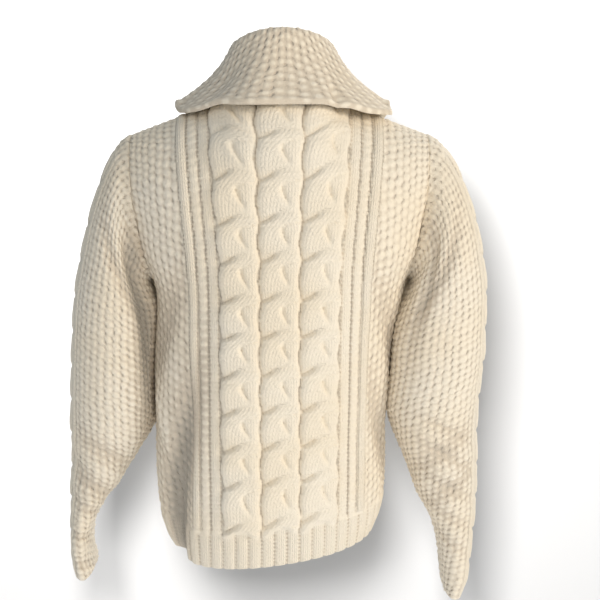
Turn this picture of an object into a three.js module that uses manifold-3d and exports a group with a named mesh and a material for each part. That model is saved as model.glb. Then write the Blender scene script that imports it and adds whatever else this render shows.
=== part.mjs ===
// Hand-knitted fisherman cardigan, worn shape, back with three rope cables.
// Millimetres. +Z up, the wearer faces -Y, the wearer's left is +X.
// The origin is the middle of the neck at the top of the shoulders.
import * as THREE from 'three';
import Module from 'manifold-3d';

const wasm = await Module();
wasm.setup();

// ---------------------------------------------------------------- sizes
const WALL = 5; // thickness of the knitting
const SEAM = 0.3; // space left between neighbouring pieces
const SIDE_GAP = 0.2; // each side of the side and shoulder seams
const HEM_Z = -680;
const UNDERARM_Z = -290;
const YOKE_Z = -170;
const YOKE_HEIGHT = YOKE_Z - HEM_Z; // rows below this lie level
const TOP_LENGTH = 176; // rows above it turn over the shoulder
const BACK_LENGTH = YOKE_HEIGHT + TOP_LENGTH;
const SECTION_POWER = 2.5; // 2 is an ellipse, more is squarer
const ARMHOLE_DEPTH = 58; // half the armhole, front to back

const NECK_HALF_WIDTH = 72.5;
const NECK_POINT_Z = -24;
const NECK_BACK_Y = 60;
const NECK_FRONT_Y = -108;
const NECK_BACK_RISE = 14;
const NECK_FRONT_DROP = 70;
const SEAM_Y = 3; // the shoulder seam runs just behind the middle
const SHOULDER_SLOPE = 0.371;

const CABLE_WIDTH = 54.6;
const CABLE_PITCH = 54.5; // height from one crossing to the next
const FIRST_CROSSING = 66; // above the hem
const STRAND_SWING = 12.5;
const STRAND_HALF_WIDTH = 13.5;
const CABLE_RELIEF = 5.5;
const CABLE_LIFT = 2.2; // how far the upper strand rides over the lower
const RIB_RELIEF = 4;
const HEM_RIB_HEIGHT = 46;
const HEM_RIB_WIDTH = 18.2;
const HEM_RIB_RELIEF = 3;
const SLEEVE_CLEARANCE = 0.9; // between the hanging sleeves and the body

const BAND_HALF_WIDTH = 20;
const BAND_LAP = 8;
const BUTTON_COUNT = 5;
const BUTTON_RADIUS = 12.5;
const BUTTON_THICKNESS = 4.5;
const LOWEST_BUTTON = 45; // above the hem
const BUTTON_SPACING = 112;

const WOOL = 0xeadfc6;
const COLLAR_WOOL = 0xe6dac0;
const SLEEVE_WOOL = 0xe8dcc2;
const BAND_WOOL = 0xe9ddc3;
const HORN = 0x8a6a48;

// Level sections of the body, from the hem up.
const TORSO = [
  { at: -680, halfWidth: 145, back: 118, front: 118, shift: 12, turn: 5.2 },
  { at: -650, halfWidth: 157, back: 124, front: 126, shift: 12, turn: 5.2 },
  { at: -600, halfWidth: 167, back: 129, front: 134, shift: 13.6, turn: 5.8 },
  { at: -550, halfWidth: 168, back: 131, front: 138, shift: 14.8, turn: 6.4 },
  { at: -500, halfWidth: 167, back: 131, front: 139, shift: 15, turn: 6.4 },
  { at: -450, halfWidth: 170, back: 131, front: 139, shift: 12.6, turn: 5.4 },
  { at: -400, halfWidth: 172, back: 131, front: 139, shift: 9.2, turn: 3.8 },
  { at: -350, halfWidth: 172, back: 130, front: 138, shift: 5.6, turn: 2.2 },
  { at: -290, halfWidth: 177, back: 129, front: 134, shift: 0, turn: 0 },
  { at: -230, halfWidth: 200, back: 127, front: 126, shift: 0, turn: 0 },
  { at: -170, halfWidth: 216, back: 123, front: 116, shift: 0, turn: 0 },
];

// Sections of the sleeves from the armhole to the cuff: where the section
// begins and ends on the outer and the inner line of the arm, half its depth
// front to back, its middle, and how far its back and front bow outwards.
const LEFT_SLEEVE = [
  { outX: 212, outZ: -76, inX: 179.5, inZ: -290, depth: 58, y: 1.5, bow: 9 },
  { outX: 224, outZ: -85, inX: 188, inZ: -276, depth: 62, y: 2, bow: 9 },
  { outX: 239, outZ: -113, inX: 192, inZ: -284, depth: 68, y: 5, bow: 7 },
  { outX: 258, outZ: -160, inX: 186, inZ: -301, depth: 72, y: 9, bow: 4 },
  { outX: 276, outZ: -225, inX: 179, inZ: -323, depth: 75, y: 13, bow: 0 },
  { outX: 291, outZ: -300, inX: 176, inZ: -356, depth: 76, y: 15, bow: 0 },
  { outX: 298, outZ: -375, inX: 175, inZ: -405, depth: 76, y: 15, bow: 0 },
  { outX: 303, outZ: -450, inX: 178, inZ: -456, depth: 75, y: 12, bow: 0 },
  { outX: 306, outZ: -500, inX: 189, inZ: -496, depth: 72, y: 8, bow: 0 },
  { outX: 307, outZ: -545, inX: 214, inZ: -540, depth: 68, y: 0, bow: 0 },
  { outX: 311, outZ: -590, inX: 244, inZ: -588, depth: 62, y: -1, bow: 0 },
  { outX: 312, outZ: -630, inX: 273, inZ: -628, depth: 57, y: -2, bow: 0 },
  { outX: 314, outZ: -670, inX: 291, inZ: -668, depth: 53, y: -3, bow: 0 },
  { outX: 314, outZ: -705, inX: 294, inZ: -703, depth: 51, y: -4, bow: 0 },
  { outX: 311, outZ: -734, inX: 290, inZ: -731, depth: 50, y: -5, bow: 0 },
  { outX: 307, outZ: -750, inX: 288, inZ: -744, depth: 50, y: -5, bow: 0 },
];
const RIGHT_SLEEVE = [
  { outX: 212, outZ: -76, inX: 179.5, inZ: -290, depth: 58, y: 1.5, bow: 9 },
  { outX: 225, outZ: -84, inX: 188, inZ: -276, depth: 62, y: 3, bow: 9 },
  { outX: 245, outZ: -113, inX: 192, inZ: -285, depth: 68, y: 6, bow: 7 },
  { outX: 265, outZ: -158, inX: 184, inZ: -302, depth: 72, y: 11, bow: 4 },
  { outX: 283, outZ: -220, inX: 173, inZ: -325, depth: 75, y: 16, bow: 0 },
  { outX: 294, outZ: -300, inX: 163, inZ: -358, depth: 76, y: 19, bow: 0 },
  { outX: 294, outZ: -375, inX: 159, inZ: -410, depth: 76, y: 20, bow: 0 },
  { outX: 289, outZ: -440, inX: 157, inZ: -458, depth: 75, y: 18, bow: 0 },
  { outX: 287, outZ: -500, inX: 167, inZ: -498, depth: 73, y: 14, bow: 0 },
  { outX: 290, outZ: -560, inX: 190, inZ: -555, depth: 68, y: 9, bow: 0 },
  { outX: 290, outZ: -610, inX: 209, inZ: -608, depth: 62, y: 8, bow: 0 },
  { outX: 288, outZ: -655, inX: 232, inZ: -652, depth: 56, y: 7, bow: 0 },
  { outX: 285, outZ: -700, inX: 244, inZ: -697, depth: 51, y: 6, bow: 0 },
  { outX: 282, outZ: -740, inX: 249, inZ: -737, depth: 47, y: 5, bow: 0 },
  { outX: 274, outZ: -770, inX: 252, inZ: -766, depth: 45, y: 5, bow: 0 },
  { outX: 269, outZ: -782, inX: 254, inZ: -777, depth: 44, y: 5, bow: 0 },
];

// Soft folds: middle (across, up from the hem or down the arm), half length,
// half width, lean from upright in degrees and height (below zero: a trough).
const BACK_FOLDS = [
  { across: 158, along: 150, length: 95, width: 17, lean: -14, height: -6 },
  { across: 188, along: 205, length: 80, width: 14, lean: 20, height: 5 },
  { across: -160, along: 190, length: 90, width: 16, lean: 16, height: -6 },
  { across: -178, along: 330, length: 90, width: 20, lean: 24, height: -5 },
  { across: 176, along: 345, length: 90, width: 20, lean: -24, height: -5 },
  { across: 0, along: 34, length: 60, width: 26, lean: 90, height: 2 },
];
const FRONT_FOLDS = [
  { across: 120, along: 200, length: 110, width: 22, lean: 12, height: -6 },
  { across: -125, along: 170, length: 100, width: 20, lean: -10, height: -6 },
  { across: 150, along: 430, length: 80, width: 20, lean: 30, height: 5 },
  { across: -150, along: 420, length: 80, width: 20, lean: -30, height: 5 },
];
const SLEEVE_FOLDS = [
  { across: 120, along: 140, length: 70, width: 20, lean: 40, height: -5 },
  { across: 100, along: 470, length: 60, width: 15, lean: 52, height: -4 },
  { across: 85, along: 530, length: 55, width: 13, lean: 55, height: -4 },
  { across: -110, along: 300, length: 80, width: 20, lean: -30, height: -5 },
  { across: -95, along: 480, length: 60, width: 16, lean: -50, height: -5 },
];

// ---------------------------------------------------------------- helpers
const degrees = THREE.MathUtils.degToRad;
const smooth = THREE.MathUtils.smoothstep;
const mix = THREE.MathUtils.lerp;

// A table read between its rows without overshoot.
function read(table, at, name, key = 'at') {
  const last = table.length - 1;
  let i = 0;
  while (i < last - 1 && at > table[i + 1][key]) i += 1;
  const slope = (k) =>
    (table[k + 1][name] - table[k][name]) / (table[k + 1][key] - table[k][key]);
  const tangent = (k) => {
    if (k === 0) return slope(0);
    if (k === last) return slope(last - 1);
    const [a, b] = [slope(k - 1), slope(k)];
    return a * b <= 0 ? 0 : (2 * a * b) / (a + b);
  };
  const step = table[i + 1][key] - table[i][key];
  const t = THREE.MathUtils.clamp((at - table[i][key]) / step, 0, 1);
  return hermite(
    table[i][name], tangent(i) * step, table[i + 1][name], tangent(i + 1) * step, t);
}

function hermite(from, leave, to, arrive, t) {
  const t2 = t * t;
  const t3 = t2 * t;
  return (
    (2 * t3 - 3 * t2 + 1) * from + (t3 - 2 * t2 + t) * leave
    + (3 * t2 - 2 * t3) * to + (t3 - t2) * arrive);
}

function foldHeight(folds, across, along) {
  let sum = 0;
  for (const fold of folds) {
    const lean = degrees(fold.lean);
    const dx = across - fold.across;
    const dy = along - fold.along;
    const run = (dx * Math.sin(lean) + dy * Math.cos(lean)) / fold.length;
    const off = (dx * Math.cos(lean) - dy * Math.sin(lean)) / fold.width;
    sum += fold.height * Math.exp(-run * run - off * off);
  }
  return sum;
}

// Height of a two-strand rope cable. Every crossing leans the same way.
function cableHeight(across, along) {
  const turns = (along - FIRST_CROSSING) / CABLE_PITCH;
  const phase = Math.PI * (turns + 0.5 + 0.1 * Math.sin(2 * Math.PI * turns));
  let height = 0;
  for (const strand of [0, Math.PI]) {
    const off = (across - STRAND_SWING * Math.cos(phase + strand)) / STRAND_HALF_WIDTH;
    if (Math.abs(off) < 1) {
      const top = CABLE_RELIEF * Math.sqrt(1 - off * off);
      height = Math.max(height, top + CABLE_LIFT * Math.sin(phase + strand));
    }
  }
  return height;
}

// ---------------------------------------------------------------- body form
function sectionPoint(z, angle) {
  const halfWidth = read(TORSO, z, 'halfWidth');
  const depth = read(TORSO, z, angle > 0 && angle < Math.PI ? 'back' : 'front');
  const c = Math.abs(Math.cos(angle) / halfWidth) ** SECTION_POWER;
  const s = Math.abs(Math.sin(angle) / depth) ** SECTION_POWER;
  const radius = (c + s) ** (-1 / SECTION_POWER);
  const turn = (degrees(read(TORSO, z, 'turn')) * (1 + Math.sin(angle))) / 2;
  const point = new THREE.Vector3(
    radius * Math.cos(angle), radius * Math.sin(angle), z);
  point.applyAxisAngle(new THREE.Vector3(0, 0, 1), turn);
  point.x += read(TORSO, z, 'shift');
  const low = 1 - smooth(z, HEM_Z, HEM_Z + 220);
  point.z += low * (-0.11 * point.x + 6 * (point.x / 150) ** 2);
  return point;
}

// Length round a level section from the centre back or front to each angle.
const sectionRows = new Map();
function sectionRow(side, z) {
  const key = `${side} ${z}`;
  if (!sectionRows.has(key)) {
    const rows = [];
    for (const way of [1, -1]) {
      const row = [];
      let length = 0;
      let before = null;
      for (let i = 0; i <= 150; i += 1) {
        const fromMiddle = degrees(i * 0.75) * way;
        const angle = side > 0 ? Math.PI / 2 - fromMiddle : -Math.PI / 2 + fromMiddle;
        const point = sectionPoint(z, angle < -Math.PI ? angle + 2 * Math.PI : angle);
        if (before) length += before.distanceTo(point);
        row.push({ length, point, level: Math.abs(Math.sin(angle)), fromMiddle });
        before = point;
      }
      rows.push(row);
    }
    sectionRows.set(key, rows);
  }
  return sectionRows.get(key);
}

function alongRow(row, length) {
  let i = 1;
  while (i < row.length - 1 && row[i].length < length) i += 1;
  const t = (length - row[i - 1].length) / (row[i].length - row[i - 1].length);
  return row[i - 1].point.clone().lerp(row[i].point, t);
}

function armholeY(z) {
  if (z <= UNDERARM_Z) return 0;
  const up = (YOKE_Z - Math.min(z, YOKE_Z)) / (YOKE_Z - UNDERARM_Z);
  return ARMHOLE_DEPTH * Math.sqrt(1 - up * up);
}

// Distance from the centre line to the side seam or the armhole.
function edgeAcross(side, way, height) {
  const z = HEM_Z + Math.min(height, YOKE_HEIGHT);
  const row = sectionRow(side, z)[way > 0 ? 0 : 1];
  if (z <= UNDERARM_Z) return row[120].length; // a quarter turn in steps of 0.75
  const y = armholeY(z);
  let i = 60;
  while (i < row.length - 1 && side * row[i].point.y > y) i += 1;
  const [a, b] = [row[i - 1], row[i]];
  return mix(a.length, b.length, (side * a.point.y - y) / (side * (a.point.y - b.point.y)));
}

// How far out the side of the body stands at a depth and a height.
function bodySide(way, y, z) {
  for (const side of [1, -1]) {
    const row = sectionRow(side, Math.round(z / 4) * 4)[way > 0 ? 0 : 1];
    for (let i = 60; i < row.length; i += 1) {
      const [a, b] = [row[i - 1].point, row[i].point];
      if ((a.y - y) * (b.y - y) <= 0) return mix(a.x, b.x, (a.y - y) / (a.y - b.y));
    }
  }
  return 0;
}

function neckPoint(side, x) {
  const sin = THREE.MathUtils.clamp(x / NECK_HALF_WIDTH, -1, 1);
  const cos = Math.sqrt(1 - sin * sin);
  return side > 0
    ? new THREE.Vector3(
      x, SEAM_Y + (NECK_BACK_Y - SEAM_Y) * cos, NECK_POINT_Z + NECK_BACK_RISE * cos)
    : new THREE.Vector3(
      x, SEAM_Y + (NECK_FRONT_Y - SEAM_Y) * cos, NECK_POINT_Z - NECK_FRONT_DROP * cos ** 1.3);
}

function topPoint(side, x) {
  if (Math.abs(x) < NECK_HALF_WIDTH) return neckPoint(side, x);
  const z = NECK_POINT_Z - SHOULDER_SLOPE * (Math.abs(x) - NECK_HALF_WIDTH);
  return new THREE.Vector3(x, SEAM_Y, z);
}

// Middle of the wall, flat size: across from the centre line, up from the hem.
function bodyPoint(side, across, height) {
  const way = across >= 0 ? 1 : -1;
  const index = across >= 0 ? 0 : 1;
  const z = HEM_Z + Math.min(height, YOKE_HEIGHT);
  const base = alongRow(sectionRow(side, z)[index], Math.abs(across));
  if (height <= YOKE_HEIGHT) return base;
  const t = (height - YOKE_HEIGHT) / TOP_LENGTH;
  const below = alongRow(sectionRow(side, YOKE_Z - 8)[index], Math.abs(across));
  const x = base.x + way * 7.5 * (base.x / 205) ** 2;
  const top = topPoint(side, x);
  const span = base.distanceTo(top);
  const leave = base.clone().sub(below).normalize().multiplyScalar(span * 1.15);
  const lift = degrees((side > 0 ? 30 : 62) * (1 - smooth(Math.abs(x), 36, 74)));
  const arrive = new THREE.Vector3(0, -side * Math.cos(lift), Math.sin(lift))
    .multiplyScalar(span * (side > 0 ? 1.2 : 0.95));
  return new THREE.Vector3(
    hermite(base.x, leave.x, top.x, arrive.x, t),
    hermite(base.y, leave.y, top.y, arrive.y, t),
    hermite(base.z, leave.z, top.z, arrive.z, t));
}

function bodyFrame(side, across, height) {
  const step = 0.5;
  const point = bodyPoint(side, across, height);
  const h0 = Math.max(0, height - step);
  const h1 = Math.min(BACK_LENGTH, height + step);
  const up = bodyPoint(side, across, h1).sub(bodyPoint(side, across, h0));
  const right = bodyPoint(side, across + step, height).sub(
    bodyPoint(side, across - step, height));
  const normal = side > 0 ? up.cross(right) : right.cross(up);
  return { point, normal: normal.normalize() };
}

// ---------------------------------------------------------------- shells
// How far along a line of points each of them lies, from 0 to 1.
function arcPlaces(line) {
  const lengths = [0];
  for (let i = 1; i < line.length; i += 1) {
    lengths.push(lengths[i - 1] + line[i].distanceTo(line[i - 1]));
  }
  return lengths.map((length) => length / lengths[lengths.length - 1]);
}

// Triangles between two lines of points that start and end side by side.
function zip(triangles, a, b, flip, placesA = arcPlaces(a), placesB = arcPlaces(b)) {
  let [i, j] = [0, 0];
  while (i < a.length - 1 || j < b.length - 1) {
    const middleA = placesA[i] + placesA[i + 1];
    const middleB = placesB[j] + placesB[j + 1];
    const stepA = j === b.length - 1 || (i < a.length - 1 && middleA <= middleB);
    const third = stepA ? a[i + 1] : b[j + 1];
    triangles.push(flip ? [a[i], third, b[j]] : [a[i], b[j], third]);
    if (stepA) i += 1;
    else j += 1;
  }
}

function tile(triangles, grid, flip) {
  for (let r = 0; r < grid.length - 1; r += 1) {
    for (let c = 0; c < grid[r].length - 1; c += 1) {
      const [p, q] = [grid[r][c], grid[r][c + 1]];
      const [s, t] = [grid[r + 1][c], grid[r + 1][c + 1]];
      const short = p.distanceTo(t) < q.distanceTo(s);
      const pair = short ? [[p, q, t], [p, t, s]] : [[p, q, s], [q, t, s]];
      for (const triangle of pair) {
        triangles.push(flip ? [triangle[0], triangle[2], triangle[1]] : triangle);
      }
    }
  }
}

const columnOf = (grid, c) => grid.map((row) => row.at(c));

// An open sheet: outer and inner grids joined round their four edges. The
// heights of the rows, where given, pair the points of the two sides.
function sheet(outer, inner, flip, outerRows, innerRows) {
  const triangles = [];
  tile(triangles, outer, flip);
  tile(triangles, inner, !flip);
  zip(triangles, outer[0], inner[0], flip);
  zip(triangles, outer[outer.length - 1], inner[inner.length - 1], !flip);
  zip(triangles, columnOf(outer, 0), columnOf(inner, 0), !flip, outerRows, innerRows);
  zip(triangles, columnOf(outer, -1), columnOf(inner, -1), flip, outerRows, innerRows);
  return triangles;
}

// A mesh is stored with its outside facing out whichever way it was listed.
function toMesh(name, triangles, material) {
  const positions = new Float32Array(triangles.length * 9);
  let volume = 0;
  triangles.forEach(([a, b, c], i) => {
    volume += a.dot(b.clone().cross(c));
    [...a.toArray(), ...b.toArray(), ...c.toArray()].forEach((v, k) => {
      positions[9 * i + k] = v;
    });
  });
  if (volume < 0) {
    for (let i = 0; i < triangles.length; i += 1) {
      for (let k = 0; k < 3; k += 1) {
        const held = positions[9 * i + 3 + k];
        positions[9 * i + 3 + k] = positions[9 * i + 6 + k];
        positions[9 * i + 6 + k] = held;
      }
    }
  }
  const geometry = new THREE.BufferGeometry();
  geometry.setAttribute('position', new THREE.BufferAttribute(positions, 3));
  geometry.computeVertexNormals();
  const mesh = new THREE.Mesh(geometry, material);
  mesh.name = name;
  return mesh;
}

const wool = (color) => new THREE.MeshStandardMaterial({ color, roughness: 0.95, metalness: 0 });

// ---------------------------------------------------------------- body pieces
const rowHeights = (start, end, step) => {
  const count = Math.max(1, Math.round((end - start) / step));
  return Array.from({ length: count + 1 }, (_, i) => mix(start, end, i / count));
};

const UNDERARM_HEIGHT = UNDERARM_Z - HEM_Z;
const FRONT_EDGE = BAND_HALF_WIDTH + SEAM; // where the fronts begin
const ROW = CABLE_PITCH / 4;
const HEM_TOP = FIRST_CROSSING - 2 * ROW;

const BODY_ROWS = [
  ...rowHeights(0, HEM_TOP, ROW).slice(0, -1),
  ...rowHeights(HEM_TOP, UNDERARM_HEIGHT, ROW).slice(0, -1),
  ...rowHeights(UNDERARM_HEIGHT, YOKE_HEIGHT, ROW).slice(0, -1),
  ...rowHeights(YOKE_HEIGHT, BACK_LENGTH, ROW),
];

const CABLES_EDGE = 1.5 * CABLE_WIDTH;
const RIBS = [91, 106, 122]; // middles of the three ribs beside the cables
const RIB_HALF_WIDTH = [8, 7, 6];
const PANEL_EDGE = 129.5;

function backRelief(across, height, edge) {
  const x = Math.abs(across);
  let relief = 0;
  if (x < CABLES_EDGE) {
    const cable = Math.round(across / CABLE_WIDTH);
    relief = cableHeight(across - cable * CABLE_WIDTH, height);
  } else {
    RIBS.forEach((rib, i) => {
      const off = (x - rib) / RIB_HALF_WIDTH[i];
      if (Math.abs(off) < 1) relief = RIB_RELIEF * Math.sqrt(1 - off * off);
    });
  }
  const rib = (HEM_RIB_RELIEF / 2) * (1 + Math.cos((2 * Math.PI * x) / HEM_RIB_WIDTH));
  relief = mix(rib, relief, smooth(height, HEM_RIB_HEIGHT - 12, HEM_RIB_HEIGHT + 8));
  const top = smooth(height, BACK_LENGTH - 22, BACK_LENGTH - 6);
  return relief * (1 - top) * smooth(edge - x, 0, 12);
}

// Columns stay at their flat size in the middle and share out the sides.
function panelAcross(column, edge) {
  if (Math.abs(column) <= PANEL_EDGE) return column;
  const share = (Math.abs(column) - PANEL_EDGE) / 100;
  return Math.sign(column) * mix(PANEL_EDGE, edge, share);
}

function bodyGrid(side, columns, rows, across, rise) {
  return rows.map((height) => columns.map((column) => {
    const edge = edgeAcross(side, column >= 0 ? 1 : -1, height);
    const x = across(column, edge);
    const { point, normal } = bodyFrame(side, x, height);
    const folds = side > 0 ? BACK_FOLDS : FRONT_FOLDS;
    const start = side > 0 ? 1 : smooth(Math.abs(x), FRONT_EDGE, FRONT_EDGE + 30);
    const free = start * smooth(edge - Math.abs(x), 0, 30)
      * (1 - smooth(height, BACK_LENGTH - 60, BACK_LENGTH - 20));
    const lift = rise(x, height, edge) + free * foldHeight(folds, x, height);
    point.addScaledVector(normal, lift);
    point.y += side * SIDE_GAP;
    return point;
  }));
}

const backColumns = [];
for (let i = 0; i <= 9; i += 1) backColumns.push((i * CABLE_WIDTH) / 6);
backColumns.splice(8, 0, 69);
backColumns.push(91, 98.5, 106, 114.5, 122, PANEL_EDGE);
for (const share of [25, 50, 75, 100]) backColumns.push(PANEL_EDGE + share);
const mirrored = (columns) => [...columns.slice(1).reverse().map((c) => -c), ...columns];

const thinned = (list, step) => list.filter((_, i) => i % step === 0 || i === list.length - 1);
function thinnedRows(rows) {
  const armpit = rows.findIndex((h) => Math.abs(h - UNDERARM_HEIGHT) < 1e-6);
  return [...thinned(rows.slice(0, armpit + 1), 4), ...thinned(rows.slice(armpit), 2).slice(1)];
}

const INNER_ROWS = thinnedRows(BODY_ROWS);
const FRONT_ROWS = [
  0,
  ...BODY_ROWS.filter((h) => h <= UNDERARM_HEIGHT + 1e-6).filter((_, i) => i % 2 === 1),
  ...BODY_ROWS.filter((h) => h > UNDERARM_HEIGHT + 1e-6),
];
const BACK_INNER_COLUMNS = mirrored([
  0, 27.3, 54.6, 63.7, 69, 72.8, 106, PANEL_EDGE, PANEL_EDGE + 50, PANEL_EDGE + 100]);
const back = {
  outer: bodyGrid(1, mirrored(backColumns), BODY_ROWS, panelAcross,
    (x, h, edge) => WALL / 2 + backRelief(x, h, edge)),
  inner: bodyGrid(1, BACK_INNER_COLUMNS, INNER_ROWS, panelAcross, () => -WALL / 2),
};

// The fronts start at the button band and share out the rest past the neck.
const FRONT_COLUMNS = [FRONT_EDGE, 33, 45, 56, 64.5, 69.5, 72.8];
const FRONT_INNER_COLUMNS = [FRONT_EDGE, 45, 56, 64.5, 69.5, 72.8];
function frontAcross(column, edge) {
  const out = Math.abs(column);
  return Math.sign(column) * (out <= 73 ? out : mix(72.8, edge, (out - 100) / 100));
}
for (const share of [18, 36, 54, 72, 86, 100]) FRONT_COLUMNS.push(100 + share);
for (const share of [36, 72, 100]) FRONT_INNER_COLUMNS.push(100 + share);
function frontPanel(way) {
  const columns = FRONT_COLUMNS.map((c) => way * c);
  const innerColumns = FRONT_INNER_COLUMNS.map((c) => way * c);
  const rise = () => WALL / 2;
  return {
    outer: bodyGrid(-1, columns, FRONT_ROWS, frontAcross, rise),
    inner: bodyGrid(-1, innerColumns, INNER_ROWS, frontAcross, () => -WALL / 2),
    seam: columnOf(bodyGrid(-1, columns.slice(-1), BODY_ROWS, frontAcross, rise), 0),
  };
}

// A front's outside is a grid up to its last column but one, then joined to
// a side seam with as many points as the back's.
function frontShell({ outer, inner, seam }, flip) {
  const triangles = [];
  const short = outer.map((row) => row.slice(0, -1));
  tile(triangles, short, flip);
  tile(triangles, inner, !flip);
  zip(triangles, seam, columnOf(short, -1), !flip);
  const bottom = outer[0];
  const top = outer[outer.length - 1];
  zip(triangles, bottom, inner[0], flip);
  zip(triangles, top, inner[inner.length - 1], !flip);
  zip(triangles, columnOf(outer, 0), columnOf(inner, 0), !flip);
  zip(triangles, seam, columnOf(inner, -1), flip, BODY_ROWS, INNER_ROWS);
  return triangles;
}
const frontLeft = frontPanel(1);
const frontRight = frontPanel(-1);

// ---------------------------------------------------------------- sleeves
function sleeveRing(table, way, place, angle) {
  const get = (name) => read(table, place, name, 'order');
  const out = new THREE.Vector3(way * get('outX'), get('y'), get('outZ'));
  const inn = new THREE.Vector3(way * get('inX'), get('y'), get('inZ'));
  const middle = out.clone().lerp(inn, 0.5);
  const across = out.clone().sub(middle);
  const half = across.length();
  const depth = get('depth');
  const power = 2.2;
  const c = Math.abs(Math.cos(angle) / half) ** power;
  const s = Math.abs(Math.sin(angle) / depth) ** power;
  const radius = (c + s) ** (-1 / power);
  const axis = new THREE.Vector3(-across.z, 0, across.x).multiplyScalar(-way / half);
  middle
    .addScaledVector(across, (radius * Math.cos(angle)) / half)
    .add(new THREE.Vector3(0, radius * Math.sin(angle), 0))
    .addScaledVector(axis, get('bow') * Math.sin(angle) ** 2);
  // the inner side lies along the side of the body
  if (Math.cos(angle) < 0 && middle.z < UNDERARM_Z + 10 && middle.z > HEM_Z + 60) {
    const rest = way * bodySide(way, middle.y, middle.z) + WALL + SLEEVE_CLEARANCE;
    const off = way * middle.x - rest;
    const soft = (off + Math.hypot(off, 2)) / 2;
    middle.x = way * (rest + mix(off, soft, smooth(-middle.z, -UNDERARM_Z - 10, -UNDERARM_Z + 20)));
  }
  return middle;
}

for (const table of [LEFT_SLEEVE, RIGHT_SLEEVE]) {
  table.forEach((row, i) => {
    row.order = i;
    const before = table[Math.max(0, i - 1)];
    const step = Math.hypot(row.outX - before.outX, row.outZ - before.outZ);
    row.along = i === 0 ? 0 : before.along + step;
  });
}

const ringRows = new Map();
function sleevePoint(table, way, across, along) {
  const place = read(table, along, 'order', 'along');
  const key = `${way} ${along} ${across >= 0}`;
  if (!ringRows.has(key)) {
    const row = [];
    let length = 0;
    let before = null;
    for (let i = 0; i <= 100; i += 1) {
      const angle = degrees(i * 2) * (across >= 0 ? 1 : -1);
      const point = sleeveRing(table, way, place, angle);
      if (before) length += before.distanceTo(point);
      row.push({ length, point });
      before = point;
    }
    ringRows.set(key, row);
  }
  return alongRow(ringRows.get(key), Math.abs(across));
}

function sleeveHalfRound(table, way, along) {
  sleevePoint(table, way, 1, along);
  return ringRows.get(`${way} ${along} true`)[90].length;
}

const SLEEVE_PANEL_EDGE = 46;
const SLEEVE_TURN = 6; // the sleeve follows the body this far before it turns
function sleeveAcross(column, half) {
  if (Math.abs(column) <= SLEEVE_PANEL_EDGE) return column;
  const share = (Math.abs(column) - SLEEVE_PANEL_EDGE) / 100;
  return Math.sign(column) * mix(SLEEVE_PANEL_EDGE, half, share);
}

function sleeveRelief(across, along) {
  const x = Math.abs(across);
  const start = smooth(along, 14, 40);
  if (x < CABLE_WIDTH / 2) return start * cableHeight(across, along);
  const off = (x - 36.5) / 8;
  return Math.abs(off) < 1 ? start * RIB_RELIEF * Math.sqrt(1 - off * off) : 0;
}

function sleeveGrid(table, way, columns, rows, rise) {
  return rows.map((along) => columns.map((column) => {
    const x = sleeveAcross(column, sleeveHalfRound(table, way, along));
    const point = sleevePoint(table, way, x, along);
    const step = 0.5;
    const end = table[table.length - 1].along;
    const [a0, a1] = [Math.max(0, along - step), Math.min(end, along + step)];
    const down = sleevePoint(table, way, x, a1).sub(sleevePoint(table, way, x, a0));
    const round = sleevePoint(table, way, x + step, along).sub(
      sleevePoint(table, way, x - step, along));
    const normal = down.cross(round).normalize().multiplyScalar(way);
    const lift = rise(x, along) + smooth(along, 20, 70) * foldHeight(SLEEVE_FOLDS, x, along);
    return point.addScaledVector(normal, lift);
  }));
}

// The armhole edge of a body piece from the underarm up, and at each point the
// direction that leads off the piece across that edge.
function armholeLine(piece, rows, column, inside) {
  const grid = inside ? piece.inner : piece.outer;
  const count = rows.filter((h) => h >= UNDERARM_HEIGHT - 1e-6).length;
  const edge = columnOf(grid, column).slice(-count);
  const next = columnOf(grid, column < 0 ? -2 : 1).slice(-count);
  return edge.map((point, i) => {
    const along = edge[Math.min(edge.length - 1, i + 1)].clone()
      .sub(edge[Math.max(0, i - 1)]).normalize();
    const across = point.clone().sub(next[i]);
    across.addScaledVector(along, -across.dot(along));
    return { point, across: across.normalize() };
  });
}

// Where each point of an armhole ring stands: shoulder 0, underarm 1, shoulder 2.
function ringPlaces(rows) {
  const span = BACK_LENGTH - UNDERARM_HEIGHT;
  const rises = rows.filter((h) => h >= UNDERARM_HEIGHT - 1e-6)
    .map((h) => (h - UNDERARM_HEIGHT) / span);
  return [...rises.map((rise) => 1 - rise).reverse(), ...rises.slice(1).map((rise) => 1 + rise)];
}

// The whole armhole as a closed line, moved off the body by a distance.
function armholeRing(frontPiece, way, inside, distance) {
  const rows = inside ? INNER_ROWS : BODY_ROWS;
  const rear = armholeLine(back, rows, way > 0 ? -1 : 0, inside);
  const fore = armholeLine(frontPiece, rows, -1, inside);
  const join = (a, b) => ({
    point: a.point.clone().lerp(b.point, 0.5),
    across: a.across.clone().add(b.across).normalize(),
  });
  const last = rear.length - 1;
  const tip = join(rear[last], fore[last]);
  tip.point.x = way * Math.max(...[rear, fore].map((line) => Math.abs(line[last].point.x)));
  tip.across.set(way, 0, 0);
  const underarm = join(rear[0], fore[0]);
  underarm.across.set(0, 0, 1);
  // from the shoulder down the back to the underarm, then up the front
  const ring = [
    tip, ...rear.slice(1, last).reverse(), underarm, ...fore.slice(1, last), tip];
  return ring.map(({ point, across }) => point.clone().addScaledVector(across, distance));
}

const SLEEVE_COLUMNS = [0, 9.1, 18.2, 27.3, 36.5, SLEEVE_PANEL_EDGE];
for (const share of [17, 34, 51, 68, 84, 100]) SLEEVE_COLUMNS.push(SLEEVE_PANEL_EDGE + share);
const SLEEVE_INNER_COLUMNS = [0, 27.3];
for (const share of [0, 34, 68, 100]) SLEEVE_INNER_COLUMNS.push(SLEEVE_PANEL_EDGE + share);

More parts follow.
